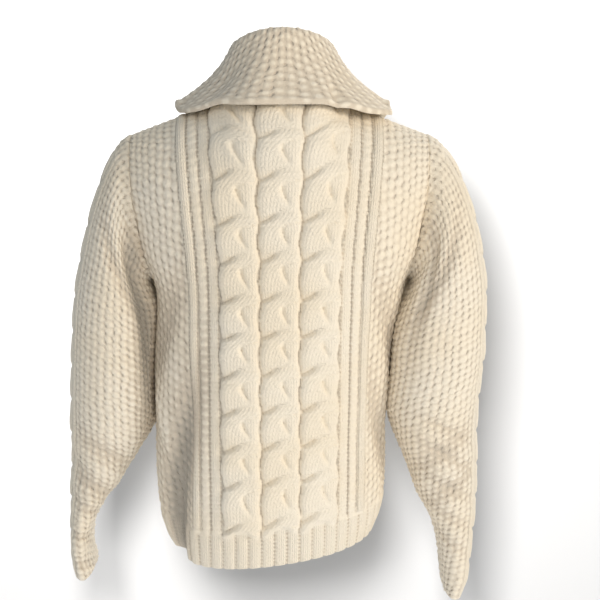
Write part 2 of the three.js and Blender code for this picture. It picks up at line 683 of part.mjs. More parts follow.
function sleeve(table, way, frontPiece) {
  const end = table[table.length - 1].along;
  const start = table[1].along;
  const rows = rowHeights(start, end, ROW);
  const innerRows = rowHeights(start, end, ROW * 3);
  const ring = (columns) => {
    const rest = columns.slice(1, -1);
    const tip = columns[columns.length - 1];
    return [0, ...rest, tip, ...rest.map((c) => -c).reverse()];
  };
  const close = (grid) => grid.map((row) => [...row, row[0]]);
  const outer = close(sleeveGrid(table, way, ring(SLEEVE_COLUMNS), rows,
    (x, s) => WALL / 2 + sleeveRelief(x, s)));
  const inner = close(sleeveGrid(table, way, ring(SLEEVE_INNER_COLUMNS), innerRows,
    () => -WALL / 2));
  const seam = SEAM + 0.1;
  const seamOuter = [seam, SLEEVE_TURN].map((d) => armholeRing(frontPiece, way, false, d));
  const seamInner = [seam, SLEEVE_TURN].map((d) => armholeRing(frontPiece, way, true, d));
  const triangles = [];
  tile(triangles, seamOuter, false);
  tile(triangles, seamInner, true);
  tile(triangles, outer, false);
  tile(triangles, inner, true);
  zip(triangles, seamOuter[1], outer[0], true);
  zip(triangles, seamInner[1], inner[0], false);
  zip(triangles, seamOuter[0], seamInner[0], false,
    ringPlaces(BODY_ROWS), ringPlaces(INNER_ROWS));
  zip(triangles, outer[outer.length - 1], inner[inner.length - 1], true);
  return triangles;
}

// ---------------------------------------------------------------- collar
const COLLAR_END = 168; // degrees each way from the centre back
const COLLAR_COLUMNS = 34;
const FOLD_RADIUS = 7;
const FALL_STEPS = 4;
const STAND_STEPS = 3;
const FOLD_STEPS = 4;

function collarLine(angle) {
  const sin = Math.sin(angle);
  const cos = Math.cos(angle);
  const side = cos >= 0 ? 1 : -1;
  const seam = neckPoint(side, NECK_HALF_WIDTH * sin);
  const outward = new THREE.Vector3(sin, cos, 0).normalize();
  const slant = cos >= 0 ? 0.5 * cos : -0.88 * cos;
  seam.addScaledVector(outward, -(WALL / 2) * (1 + slant) - 6 * SEAM);
  seam.z -= 1;
  const fold = new THREE.Vector3(
    66 * sin - 5,
    cos >= 0 ? 68 * cos : 96 * cos,
    cos >= 0 ? 43 + 29 * cos ** 1.3 : 43 - 79 * (-cos) ** 1.5);
  const ripple = 5 * Math.sin(5.2 * angle + 0.6) + 3 * Math.sin(9 * angle - 0.8);
  const edge = new THREE.Vector3(
    143 * Math.sign(sin) * Math.abs(sin) ** 0.9,
    cos >= 0 ? 110 * cos ** 1.15 : 148 * cos,
    cos >= 0 ? -31 + 7 * cos : -31 - 102 * (-cos) ** 1.5);
  edge.addScaledVector(outward, ripple * 0.8);
  return { seam, fold, edge, outward };
}

function collarSection(angle) {
  const { seam, fold, edge, outward } = collarLine(angle);
  const points = [];
  const inside = fold.clone().addScaledVector(outward, -FOLD_RADIUS);
  const outside = fold.clone().addScaledVector(outward, FOLD_RADIUS);
  for (let i = 0; i < STAND_STEPS; i += 1) {
    const t = i / STAND_STEPS;
    points.push(seam.clone().lerp(inside, t).addScaledVector(outward, -4 * t * (1 - t)));
  }
  for (let i = 0; i <= FOLD_STEPS; i += 1) {
    const turn = Math.PI * (1 - i / FOLD_STEPS);
    const point = fold.clone().addScaledVector(outward, FOLD_RADIUS * Math.cos(turn));
    point.z += FOLD_RADIUS * Math.sin(turn);
    points.push(point);
  }
  for (let i = 1; i <= FALL_STEPS; i += 1) {
    const t = i / FALL_STEPS;
    const point = outside.clone().lerp(edge, t);
    point.addScaledVector(outward, -9 * Math.sin(Math.PI * t) + 3 * t ** 4);
    points.push(point);
  }
  return points;
}

function collar() {
  const angles = Array.from({ length: COLLAR_COLUMNS + 1 },
    (_, i) => degrees(mix(-COLLAR_END, COLLAR_END, i / COLLAR_COLUMNS)));
  const middle = angles.map(collarSection);
  const offset = (way) => middle.map((line, i) => line.map((point, j) => {
    const before = middle[Math.max(0, i - 1)][j];
    const after = middle[Math.min(middle.length - 1, i + 1)][j];
    const down = line[Math.max(0, j - 1)];
    const up = line[Math.min(line.length - 1, j + 1)];
    const normal = after.clone().sub(before).cross(up.clone().sub(down)).normalize();
    return point.clone().addScaledVector(normal, (way * WALL) / 2);
  }));
  return sheet(offset(1), offset(-1), false);
}

// ---------------------------------------------------------------- bands
function band(columns, innerRows, lift) {
  const grid = (rows, offset) => rows.map((height) => columns.map((x) => {
    const { point, normal } = bodyFrame(-1, x, height);
    point.addScaledVector(normal, lift + offset);
    point.y -= SIDE_GAP;
    return point;
  }));
  return sheet(grid(FRONT_ROWS, WALL / 2), grid(innerRows, -WALL / 2), false);
}
const OVERBAND_LIFT = WALL + 2 * SEAM;

// ---------------------------------------------------------------- buttons
function button(height) {
  const { point, normal } = bodyFrame(-1, 0, height);
  const out = normal.clone().normalize();
  const { Manifold } = wasm;
  const outline = [
    [0, 0], [BUTTON_RADIUS - 1.5, 0], [BUTTON_RADIUS, 2],
    [BUTTON_RADIUS - 1.6, BUTTON_THICKNESS], [BUTTON_RADIUS - 4, BUTTON_THICKNESS - 1],
    [0, BUTTON_THICKNESS - 1],
  ];
  let body = Manifold.revolve([outline], 14);
  for (let i = 0; i < 4; i += 1) {
    const turn = (Math.PI / 2) * i + Math.PI / 4;
    const hole = Manifold.cylinder(BUTTON_THICKNESS * 2, 1.4, 1.4, 4)
      .translate([3.2 * Math.cos(turn), 3.2 * Math.sin(turn), -1]);
    body = body.subtract(hole);
  }
  const { vertProperties, triVerts, numProp } = body.getMesh();
  const turn = new THREE.Quaternion().setFromUnitVectors(new THREE.Vector3(0, 0, 1), out);
  const seat = point.addScaledVector(out, OVERBAND_LIFT + WALL / 2 + SEAM);
  seat.y -= SIDE_GAP;
  const vertex = (i) => new THREE.Vector3(
    ...vertProperties.slice(numProp * i, numProp * i + 3)).applyQuaternion(turn).add(seat);
  const triangles = [];
  for (let i = 0; i < triVerts.length; i += 3) {
    triangles.push([vertex(triVerts[i]), vertex(triVerts[i + 1]), vertex(triVerts[i + 2])]);
  }
  return triangles;
}

// ---------------------------------------------------------------- assembly
const cardigan = new THREE.Group();
cardigan.name = 'fisherman_cardigan';
cardigan.add(toMesh('back', sheet(back.outer, back.inner, false, BODY_ROWS, INNER_ROWS), wool(WOOL)));
cardigan.add(toMesh('front_left', frontShell(frontLeft, false), wool(WOOL)));
cardigan.add(toMesh('front_right', frontShell(frontRight, true), wool(WOOL)));
cardigan.add(toMesh('sleeve_left', sleeve(LEFT_SLEEVE, 1, frontLeft), wool(SLEEVE_WOOL)));
cardigan.add(toMesh('sleeve_right', sleeve(RIGHT_SLEEVE, -1, frontRight), wool(SLEEVE_WOOL)));
cardigan.add(toMesh('collar', collar(), wool(COLLAR_WOOL)));
const bandColumns = [-BAND_HALF_WIDTH, 0, BAND_HALF_WIDTH];
cardigan.add(toMesh('band_under', band(bandColumns, INNER_ROWS, 0), wool(BAND_WOOL)));
const overColumns = [...bandColumns, BAND_HALF_WIDTH + BAND_LAP];
const overBand = band(overColumns, FRONT_ROWS, OVERBAND_LIFT);
cardigan.add(toMesh('band_over', overBand, wool(BAND_WOOL)));
for (let i = 0; i < BUTTON_COUNT; i += 1) {
  const horn = new THREE.MeshStandardMaterial({ color: HORN, roughness: 0.4, metalness: 0 });
  const triangles = button(LOWEST_BUTTON + i * BUTTON_SPACING);
  cardigan.add(toMesh(`button_${i + 1}`, triangles, horn));
}

export default cardigan;
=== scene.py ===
"""A hand-knitted fisherman cardigan in its worn form, seen from the back.

The knitted pieces are grown from the same sections as the solids they replace, with
rope cables, ribs and moss stitch raised on them stitch by stitch.
"""

import functools
import math

import bpy
import numpy as np
from bpy.props import FloatProperty, FloatVectorProperty, PointerProperty
from mathutils import Matrix, Vector


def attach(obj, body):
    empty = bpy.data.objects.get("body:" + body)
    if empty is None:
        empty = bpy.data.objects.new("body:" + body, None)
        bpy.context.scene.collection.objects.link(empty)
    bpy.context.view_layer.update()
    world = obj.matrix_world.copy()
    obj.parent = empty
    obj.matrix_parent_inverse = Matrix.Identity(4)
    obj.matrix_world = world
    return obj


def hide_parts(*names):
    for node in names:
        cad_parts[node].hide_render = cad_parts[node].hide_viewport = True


bl_info = {
    "name": "Fisherman cardigan",
    "version": (1, 0, 0),
    "blender": (4, 5, 0),
    "location": "View3D > Sidebar > Cardigan",
    "description": "Builds the knitted pieces, buttons and studio of a cable-knit cardigan",
    "category": "Object",
}

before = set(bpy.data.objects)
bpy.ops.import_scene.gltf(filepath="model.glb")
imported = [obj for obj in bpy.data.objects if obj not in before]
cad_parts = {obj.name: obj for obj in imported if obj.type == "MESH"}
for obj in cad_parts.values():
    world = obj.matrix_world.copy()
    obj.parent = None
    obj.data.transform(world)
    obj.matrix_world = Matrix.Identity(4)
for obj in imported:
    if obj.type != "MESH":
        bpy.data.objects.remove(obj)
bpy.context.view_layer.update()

# ------------------------------------------------------------------ sizes, in millimetres
MM = 0.001

WALL = 5.0
EDGE_RADIUS = 2.2
COLLAR_EDGE_RADIUS = 5.0
SEAM = 0.3
SIDE_GAP = 0.2
HEM_Z = -680.0
UNDERARM_Z = -290.0
YOKE_Z = -170.0
YOKE_HEIGHT = YOKE_Z - HEM_Z
UNDERARM_HEIGHT = UNDERARM_Z - HEM_Z
TOP_LENGTH = 176.0
BACK_LENGTH = YOKE_HEIGHT + TOP_LENGTH
SECTION_POWER = 2.5  # 2 is an ellipse, more is squarer
SLEEVE_POWER = 2.2
HEM_REACH = 220.0  # how far up the hem's slant and bow reach
HEM_SLANT = -0.11
HEM_BOW = 6.0
ARMHOLE_DEPTH = 58.0

NECK_HALF_WIDTH = 72.5
NECK_POINT_Z = -24.0
NECK_BACK_Y = 60.0
NECK_FRONT_Y = -108.0
NECK_BACK_RISE = 14.0
NECK_FRONT_DROP = 70.0
SEAM_Y = 3.0
SHOULDER_SLOPE = 0.371
SHOULDER_SPREAD = 7.5  # how much wider the shoulders are than the yoke
BACK_NECK_STEEP = 30.0  # how steeply the cloth meets the neckline, in degrees
FRONT_NECK_STEEP = 62.0

CABLE_WIDTH = 54.6
CABLE_PITCH = 52.9
FIRST_CROSSING = 75.0
LAST_TURN_STRETCH = 8.0  # how much longer the lowest turn of a cable is
STRAND_REACH = 26.4
GUTTER_WAVE = 1.6
GUTTER_FLOOR = 0.34  # how high the sides of a cable stay, against its top
YOKE_SPREAD = 13.0  # how far the cables spread to each side at the shoulders
CABLES_EDGE = 1.5 * CABLE_WIDTH
PANEL_EDGE = 129.5
# Ribs beside the cables: middle, half width, share of the height, knobbiness, plainness.
RIBS = ((90.5, 6.3, 0.75, 0.25, 0.6), (106.0, 5.9, 0.9, 0.45, 0.4), (121.5, 6.2, 1.15, 0.0, 0.9))
RIB_REACH = 1.25  # gutters beside a rib, in half widths from its middle
KNOB_PITCH = 12.4  # spacing of the knobs along a rib
HEM_RIB_HEIGHT = 60.0
HEM_RIB_WIDTH = 18.2
SLEEVE_CLEARANCE = 0.9
SLEEVE_PANEL_EDGE = 46.0
ARM_RIB_PLACE = 36.5  # middle and half width of the rib beside an arm's cable
ARM_RIB_HALF = 8.0
BAND_HALF_WIDTH = 20.0
BAND_LAP = 8.0
BAND_RIB_START = 4.0
BAND_RIB_WIDTH = 9.6
FRONT_EDGE = BAND_HALF_WIDTH + SEAM
OVERBAND_LIFT = WALL + 2 * SEAM
LOWEST_BUTTON = 45.0
BUTTON_SPACING = 112.0
BUTTON_NODES = sorted(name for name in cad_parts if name.startswith("button_"))

# Width and height of a moss bump on each part.
BODY_MOSS = (11.4, 13.6)
SLEEVE_MOSS = (11.2, 10.3)
COLLAR_MOSS = (12.6, 11.4)
MOSS_STEP = 0.42  # how far each column of moss bumps is set off, in bumps
MOSS_STAGGER = 0.1
COURSE = 6.2  # height of a row of stitches
GRID = 2.0  # spacing of the modelled points
EASING_ROUNDS = 60
INNER_STRIDE = 4  # the plain inside has every fourth point
# Painted shade: hollow up to 1 is shade between stitches, above 1 it is the painted shade of fold
# troughs.
MOST_HOLLOW = 3.0  # hollows between stitches reach 1, the folds' shade the rest
# The plain inside gets this hollow, a slight even painted shade.
INSIDE_HOLLOW = 0.45


def table(names, *rows):
    """Rows of numbers under named columns."""
    return dict(zip(names.split(), np.array(rows, float).T))


# Level sections of the body, from the hem up.
TORSO = table(
    "at half_width back front shift turn",
    (-680, 145, 118, 118, 12, 5.2),
    (-650, 157, 124, 126, 12, 5.2),
    (-600, 167, 129, 134, 13.6, 5.8),
    (-550, 168, 131, 138, 14.8, 6.4),
    (-500, 167, 131, 139, 15, 6.4),
    (-450, 170, 131, 139, 12.6, 5.4),
    (-400, 172, 131, 139, 9.2, 3.8),
    (-350, 172, 130, 138, 5.6, 2.2),
    (-290, 177, 129, 134, 0, 0),
    (-230, 200, 127, 126, 0, 0),
    (-170, 216, 123, 116, 0, 0),
)
# Sections of the sleeves from the armhole to the cuff.
LEFT_SLEEVE = table(
    "out_x out_z in_x in_z depth y bow",
    (212, -76, 179.5, -290, 58, 1.5, 9),
    (224, -85, 188, -276, 62, 2, 9),
    (239, -113, 192, -284, 68, 5, 7),
    (258, -160, 186, -301, 72, 9, 4),
    (276, -225, 179, -323, 75, 13, 0),
    (291, -300, 176, -356, 76, 15, 0),
    (298, -375, 175, -405, 76, 15, 0),
    (303, -450, 178, -456, 75, 12, 0),
    (306, -500, 189, -496, 72, 8, 0),
    (307, -545, 214, -540, 68, 0, 0),
    (311, -590, 244, -588, 62, -1, 0),
    (312, -630, 273, -628, 57, -2, 0),
    (314, -670, 291, -668, 53, -3, 0),
    (314, -705, 294, -703, 51, -4, 0),
    (311, -728, 290, -725, 50, -5, 0),
    (307, -740, 288, -734, 50, -5, 0),
)
RIGHT_SLEEVE = table(
    "out_x out_z in_x in_z depth y bow",
    (212, -76, 179.5, -290, 58, 1.5, 9),
    (225, -84, 188, -276, 62, 3, 9),
    (245, -113, 192, -285, 68, 6, 7),
    (265, -158, 184, -302, 72, 11, 4),
    (283, -220, 173, -325, 75, 16, 0),
    (294, -300, 163, -358, 76, 19, 0),
    (294, -375, 159, -410, 76, 20, 0),
    (289, -440, 157, -458, 75, 18, 0),
    (287, -500, 167, -498, 73, 14, 0),
    (290, -560, 190, -555, 68, 9, 0),
    (290, -610, 209, -608, 62, 8, 0),
    (288, -655, 232, -652, 56, 7, 0),
    (285, -700, 244, -697, 51, 6, 0),
    (282, -740, 249, -737, 47, 5, 0),
    (275, -762, 252, -758, 45, 5, 0),
    (270, -773, 254, -768, 44, 5, 0),
)
for sleeve_table in (LEFT_SLEEVE, RIGHT_SLEEVE):
    steps = np.hypot(np.diff(sleeve_table["out_x"]), np.diff(sleeve_table["out_z"]))
    sleeve_table["along"] = np.concatenate([[0], np.cumsum(steps)])
    sleeve_table["order"] = np.arange(len(steps) + 1.0)

# Soft folds: middle across and along, half length, half width, lean from upright in
# degrees, height (below zero is a trough).
FOLDS = "across along length width lean height"
BACK_FOLDS = table(
    FOLDS,
    (158, 150, 95, 17, -14, -6),
    (188, 205, 80, 14, 20, 5),
    (-160, 190, 90, 16, 16, -6),
    (-178, 330, 90, 20, 24, -5),
    (176, 345, 90, 20, -24, -5),
    (0, 34, 60, 26, 90, 2),
    (148, 140, 170, 24, -12, -10),
    (170, 60, 100, 24, 0, -13),
)
FRONT_FOLDS = table(
    FOLDS,
    (120, 200, 110, 22, 12, -6),
    (-125, 170, 100, 20, -10, -6),
    (150, 430, 80, 20, 30, 5),
    (-150, 420, 80, 20, -30, 5),
)
SLEEVE_FOLDS = table(
    FOLDS,
    (120, 140, 70, 20, 40, -5),
    (100, 470, 60, 15, 52, -4),
    (85, 530, 55, 13, 55, -4),
    (-110, 300, 80, 20, -30, -5),
    (-95, 480, 60, 16, -50, -5),
)


# ------------------------------------------------------------------ small tools
def smooth(value, low, high):
    """0 below low, 1 above high, with soft ends."""
    t = np.clip((value - low) / (high - low), 0, 1)
    return t * t * (3 - 2 * t)


def mix(a, b, share):
    """The value that share of the way from a to b."""
    return a + (b - a) * share


def hermite(start, leave, end, arrive, t):
    """A curve from start to end with given tangents at its ends."""
    t2, t3 = t * t, t * t * t
    return (
        (2 * t3 - 3 * t2 + 1) * start
        + (t3 - 2 * t2 + t) * leave
        + (3 * t2 - 2 * t3) * end
        + (t3 - t2) * arrive
    )


def read(columns, name, at, key="at"):
    """A table's column read between its rows without overshoot."""
    xs, ys = columns[key], columns[name]
    slope = np.diff(ys) / np.diff(xs)
    product, total = slope[:-1] * slope[1:], slope[:-1] + slope[1:]
    tangent = np.concatenate([slope[:1], slope, slope[-1:]])[: len(ys)]
    tangent[-1] = slope[-1]
    inner = np.where(product > 0, 2 * product / np.where(total == 0, 1, total), 0)
    tangent[1:-1] = inner
    at = np.clip(np.asarray(at, float), xs[0], xs[-1])
    i = np.clip(np.searchsorted(xs, at) - 1, 0, len(xs) - 2)
    step = xs[i + 1] - xs[i]
    return hermite(ys[i], tangent[i] * step, ys[i + 1], tangent[i + 1] * step, (at - xs[i]) / step)


def wave_up(turns):
    """A wave that is 1 at whole turns and 0 half-way between them."""
    return 0.5 + 0.5 * np.cos(2 * np.pi * turns)


def unit(vectors):
    """Each vector at length 1."""
    return vectors / np.maximum(np.linalg.norm(vectors, axis=-1, keepdims=True), 1e-9)


def arc_lengths(points):
    """Length along a line of points up to each of them."""
    steps = np.linalg.norm(np.diff(points, axis=0), axis=1)
    return np.concatenate([[0], np.cumsum(steps)])


def along_line(lengths, points, wanted):
    """Points at the wanted lengths along a line."""
    return np.stack([np.interp(wanted, lengths, points[:, k]) for k in range(3)], axis=-1)


@functools.lru_cache(maxsize=None)
def random_lattice(seed):
    """A square of random numbers that repeats, for wobble."""
    return np.random.default_rng(seed).uniform(-1, 1, (64, 64))


def wobble(across, along, size, seed):
    """Smooth hand-made unevenness between -1 and 1 with lumps of a size."""
    lattice = random_lattice(seed)
    x, y = np.asarray(across) / size + 7.3, np.asarray(along) / size + 3.1
    i, j = np.floor(x).astype(int), np.floor(y).astype(int)
    u, v = x - i, y - j
    u, v = u * u * (3 - 2 * u), v * v * (3 - 2 * v)
    i, j = i % 64, j % 64
    i2, j2 = (i + 1) % 64, (j + 1) % 64
    low = mix(lattice[i, j], lattice[i2, j], u)
    high = mix(lattice[i, j2], lattice[i2, j2], u)
    return mix(low, high, v)


def fold_height(folds, across, along):
    """Height of the soft folds of a piece."""
    total = np.zeros(np.broadcast(across, along).shape)
    for k in range(len(folds["across"])):
        lean = math.radians(folds["lean"][k])
        dx, dy = across - folds["across"][k], along - folds["along"][k]
        run = (dx * math.sin(lean) + dy * math.cos(lean)) / folds["length"][k]
        off = (dx * math.cos(lean) - dy * math.sin(lean)) / folds["width"][k]
        total = total + folds["height"][k] * np.exp(-run * run - off * off)
    return total


def painted_shade_of_folds(folds):
    """Painted shade for the troughs of the folds: how deep in a hollow the wool is painted as
    lying, from how deep its trough is.
    """
    return np.clip(-folds / 8, 0, 2)


# ------------------------------------------------------------------ form of the body
def section_points(z, angle):
    """Points of a level section of the body, straight out from its middle."""
    angle = (angle + math.pi) % (2 * math.pi) - math.pi
    half_width = read(TORSO, "half_width", z)
    behind = (angle > 0) & (angle < math.pi)
    depth = np.where(behind, read(TORSO, "back", z), read(TORSO, "front", z))
    c = np.abs(np.cos(angle) / half_width) ** SECTION_POWER
    s = np.abs(np.sin(angle) / depth) ** SECTION_POWER
    radius = (c + s) ** (-1 / SECTION_POWER)
    turned = angle + np.radians(read(TORSO, "turn", z)) * (1 + np.sin(angle)) / 2
    x = radius * np.cos(turned) + read(TORSO, "shift", z)
    y = radius * np.sin(turned)
    low = 1 - smooth(z, HEM_Z, HEM_Z + HEM_REACH)
    hang = HEM_SLANT * x + HEM_BOW * (x / 150) ** 2
    return np.stack([x, y, z + low * hang], axis=-1)


SWEEP = np.radians(np.arange(0, 112.6, 0.75))
QUARTER = 120  # step of the sweep that stands at the side seam
EIGHTH = 60


@functools.lru_cache(maxsize=None)
def section_row(side, z, way):
    """Half a level section from the centre back or front round one side."""
    sweep = SWEEP * way
    points = section_points(z, math.pi / 2 - sweep if side > 0 else -math.pi / 2 + sweep)
    return arc_lengths(points), points


def row_points(side, z, across):
    """Points of one level row at signed distances from the centre line."""
    points = np.empty(across.shape + (3,))
    for way, chosen in ((1, across >= 0), (-1, across < 0)):
        lengths, line = section_row(side, z, way)
        points[chosen] = along_line(lengths, line, np.abs(across[chosen]))
    return points


def armhole_y(z):
    """How far from the side seam the armhole's edge stands at a height."""
    up = (YOKE_Z - min(z, YOKE_Z)) / (YOKE_Z - UNDERARM_Z)
    return ARMHOLE_DEPTH * math.sqrt(max(0.0, 1 - up * up))


@functools.lru_cache(maxsize=None)
def edge_across(side, way, height):
    """Distance from the centre line to the side seam or the armhole."""
    z = HEM_Z + min(height, YOKE_HEIGHT)
    lengths, line = section_row(side, z, way)
    if z <= UNDERARM_Z:
        return lengths[QUARTER]
    depth = side * line[EIGHTH:, 1]
    return float(np.interp(-armhole_y(z), -depth, lengths[EIGHTH:]))


def neck_points(side, x):
    """The neckline of the back or the front."""
    sin = np.clip(x / NECK_HALF_WIDTH, -1, 1)
    cos = np.sqrt(1 - sin * sin)
    if side > 0:
        return np.stack(
            [x, SEAM_Y + (NECK_BACK_Y - SEAM_Y) * cos, NECK_POINT_Z + NECK_BACK_RISE * cos], -1
        )
    return np.stack(
        [x, SEAM_Y + (NECK_FRONT_Y - SEAM_Y) * cos, NECK_POINT_Z - NECK_FRONT_DROP * cos**1.3], -1
    )


def over_shoulder(side, base, across, height):
    """Points above the yoke, where the row turns over to the neck and shoulder seam."""
    t = (height - YOKE_HEIGHT) / TOP_LENGTH
    below = row_points(side, YOKE_Z - 8, across)
    x = base[:, 0] + np.where(across >= 0, 1, -1) * SHOULDER_SPREAD * (base[:, 0] / 205) ** 2
    shoulder_z = NECK_POINT_Z - SHOULDER_SLOPE * (np.abs(x) - NECK_HALF_WIDTH)
    shoulder = np.stack([x, np.full_like(x, SEAM_Y), shoulder_z], -1)
    top = np.where((np.abs(x) < NECK_HALF_WIDTH)[:, None], neck_points(side, x), shoulder)
    span = np.linalg.norm(base - top, axis=1)[:, None]
    leave = unit(base - below) * span * 1.15
    steep = BACK_NECK_STEEP if side > 0 else FRONT_NECK_STEEP
    lift = np.radians(steep * (1 - smooth(np.abs(x), 36, 74)))
    arrive = np.stack([np.zeros_like(x), -side * np.cos(lift), np.sin(lift)], -1)
    return hermite(base, leave, top, arrive * span * (1.2 if side > 0 else 0.95), t)


def body_middle(side, across, heights):
    """Middle of the wall for rows of flat sizes."""
    points = np.empty(across.shape + (3,))
    for r, height in enumerate(heights):
        base = row_points(side, HEM_Z + min(height, YOKE_HEIGHT), across[r])
        points[r] = base if height <= YOKE_HEIGHT else over_shoulder(side, base, across[r], height)
    return points


def grid_normals(points, closed=False):
    """Directions square to a grid of points. Its sign follows rows, then columns."""
    down = np.gradient(points, axis=0)
    if closed:
        right = np.roll(points, -1, axis=1) - np.roll(points, 1, axis=1)
    else:
        right = np.gradient(points, axis=1)
    return unit(np.cross(right, down))


# ------------------------------------------------------------------ stitch patterns
class Pattern:
    """What a knitted surface has at each point: rise, place across and along in stitches,
    how plainly the stitches show as V shapes or as moss, and how deep in a hollow it is."""

    def __init__(self, shape):
        # hollow is the mask for painted shade in the hollows between stitches and in the troughs
        # of folds.
        self.rise, self.wale, self.course, self.plain, self.moss, self.hollow = (
            np.zeros(shape) for _ in range(6)
        )

    def lay(self, where, rise, wale, course, plain, hollow):
        """Put another pattern on where the mask is above zero, softly."""
        for name, value in (("rise", rise), ("plain", plain), ("moss", 0.0), ("hollow", hollow)):
            setattr(self, name, mix(getattr(self, name), value, where))
        taken = where > 0.5
        self.wale = np.where(taken, wale, self.wale)
        self.course = np.where(taken, course, self.course)


def moss(across, along, width, height, rise, seed):
    """Moss stitch: columns of oval purl bumps, each column set off from the last. Gives
    the rise, the column, the row and the hollow."""
    x = np.abs(across) / width + 0.16 * wobble(across, along, 1.5 * width, seed)
    y = along / height + 0.2 * wobble(across, along, 1.25 * height, seed + 1)
    total = np.zeros(np.broadcast(x, y).shape)
    for near in (-1, 0, 1):
        column = np.floor(x) + near
        down = y - MOSS_STEP * column + MOSS_STAGGER * np.sin(7.3 * column)
        size = 1 + 0.22 * np.sin(12.9 * column + 78.2 * np.round(down))
        beat = 0.15 + 0.85 * wave_up(down) ** 1.1
        total = total + size * beat * np.exp(-(((x - column - 0.5) / 0.32) ** 2))
    bump = np.clip(total, 0, 1.15) ** 0.9
    lump = 1 + 0.18 * wobble(across, along, 0.32 * width, seed + 2)
    # The hollow is a mask for painted shade between the bumps.
    return bump * rise * lump, x, y, 0.8 * np.clip(1 - bump, 0, 1)


# Edge between one strand of a cable and the next, down one turn: how far down, in turns,
# how far across, from -1 to 1, and how high its crease stays, from 0 to 1.
STRAND_EDGE = table(
    "at across floor",
    (-1.12, 1.0, 0.85),
    (-1.05, 0.88, 0.8),
    (-1.0, 0.56, 0.75),
    (-0.96, 0.28, 0.75),
    (-0.9, 0.12, 0.6),
    (-0.84, 0.08, 0.38),
    (-0.74, 0.15, 0.22),
    (-0.62, 0.28, 0.28),
    (-0.51, 0.42, 0.5),
    (-0.43, 0.48, 0.85),
    (-0.37, 0.42, 1.0),
    (-0.31, 0.2, 1.0),
    (-0.26, -0.08, 0.8),
    (-0.2, -0.27, 0.36),
    (-0.13, -0.48, 0.1),
    (-0.06, -0.74, 0.05),
    (0.0, -1.0, 0.05),
)
# Run of a strand from where it comes out from under the last one to where it goes under
# the next: its middle, its half width and how far it lies on top.
STRAND_RUN = table(
    "at middle half top",
    (-1.1, 0.35, 0.50, 0.2),
    (-0.8, 0.50, 0.50, 0.0),
    (-0.5, 0.55, 0.52, 0.35),
    (-0.25, 0.38, 0.68, 0.5),
    (0.0, -0.02, 0.80, 0.8),
    (0.25, -0.35, 0.68, 1.0),
    (0.5, -0.42, 0.60, 0.35),
    (0.75, -0.50, 0.55, -0.5),
    (1.0, -0.55, 0.50, -1.2),
)


def bulge(distance, reach, floor):
    """Rise from a crease, from its floor up to 1 at its reach."""
    t = np.clip(distance / reach, 0, 1)
    return floor + (1 - floor) * np.sqrt(1 - (1 - t) ** 2)


def rope(across, along, relief, lift):
    """A two-strand rope cable. Gives its rise, the place across the strand in stitches,
    the hollow, and how clearly its stitches show, which fades near a strand's edge."""
    along = along + LAST_TURN_STRETCH * (1 - smooth(along, 60, 130))
    down = (FIRST_CROSSING - along) / CABLE_PITCH + 0.03 * wobble(across, along, 40, 5)
    part = down - np.floor(down)
    x = -across / STRAND_REACH
    first, second, floor = (
        np.broadcast_to(read(STRAND_EDGE, name, part - turn), x.shape)
        for name, turn in (("across", 1), ("across", 2), ("floor", 1))
    )
    rise, wale, hollow, calm = (np.zeros(x.shape) for _ in range(4))
    crossing = smooth(part, 0.5, 0.78)
    emerging = mix(GUTTER_FLOOR, 0.85, smooth(part, 0.86, 0.92))
    level = mix(read(STRAND_RUN, "top", part), read(STRAND_RUN, "top", part - 1), 0.5)
    joined = smooth(floor, 0.35, 0.95)
    between = (x >= first) & (x < second)
    over, under = (mix(8, 20, crossing), floor), (mix(9, 13, crossing), floor)
    strands = (
        (x < first, part, x + 1, first - x, (13, GUTTER_FLOOR), over),
        (between, part - 1, x - first, second - x, under, (12, emerging)),
        (x >= second, part - 2, x - second, 1 - x, (10, 0.85), (12, GUTTER_FLOOR)),
    )
    for chosen, turn, left, right, on_left, on_right in strands:
        full = bulge(left * STRAND_REACH, *on_left) * bulge(right * STRAND_REACH, *on_right)
        top = relief + lift * mix(read(STRAND_RUN, "top", turn), level, joined)
        place = (x - read(STRAND_RUN, "middle", turn)) / read(STRAND_RUN, "half", turn)
        rise = np.where(chosen, top * full, rise)
        wale = np.where(chosen, 1.75 * place + 0.5 * np.floor(down - turn + 0.5), wale)
        # Painted shade: the hollow darkens where a strand dips into its creases.
        hollow = np.where(chosen, 1 - full, hollow)
        calm = np.where(chosen, smooth(np.minimum(left, right) * STRAND_REACH, 1.5, 5), calm)
    gutter = np.abs(x) > 1
    bar = wave_up(along / COURSE)
    # Painted shade in the gutters beside the cable, lighter on each row's bar.
    rise, hollow = np.where(gutter, 1.2 * bar, rise), np.where(gutter, 1 - 0.35 * bar, hollow)
    return rise, wale, hollow, calm


def rib_ridge(off):
    """Profile of a rib from its middle, off = 0, to its edges, off = 1."""
    return np.sqrt(np.clip(1 - np.abs(off) ** 3, 0, 1))


def gathered_in(across, along):
    """Distances from the centre line as if the cables did not spread at the shoulders."""
    x = np.abs(across)
    spread = YOKE_SPREAD * smooth(along, YOKE_HEIGHT - 110, YOKE_HEIGHT + 120)
    wide = CABLES_EDGE + spread
    return np.sign(across) * np.where(x < wide, x * CABLES_EDGE / wide, x - spread)


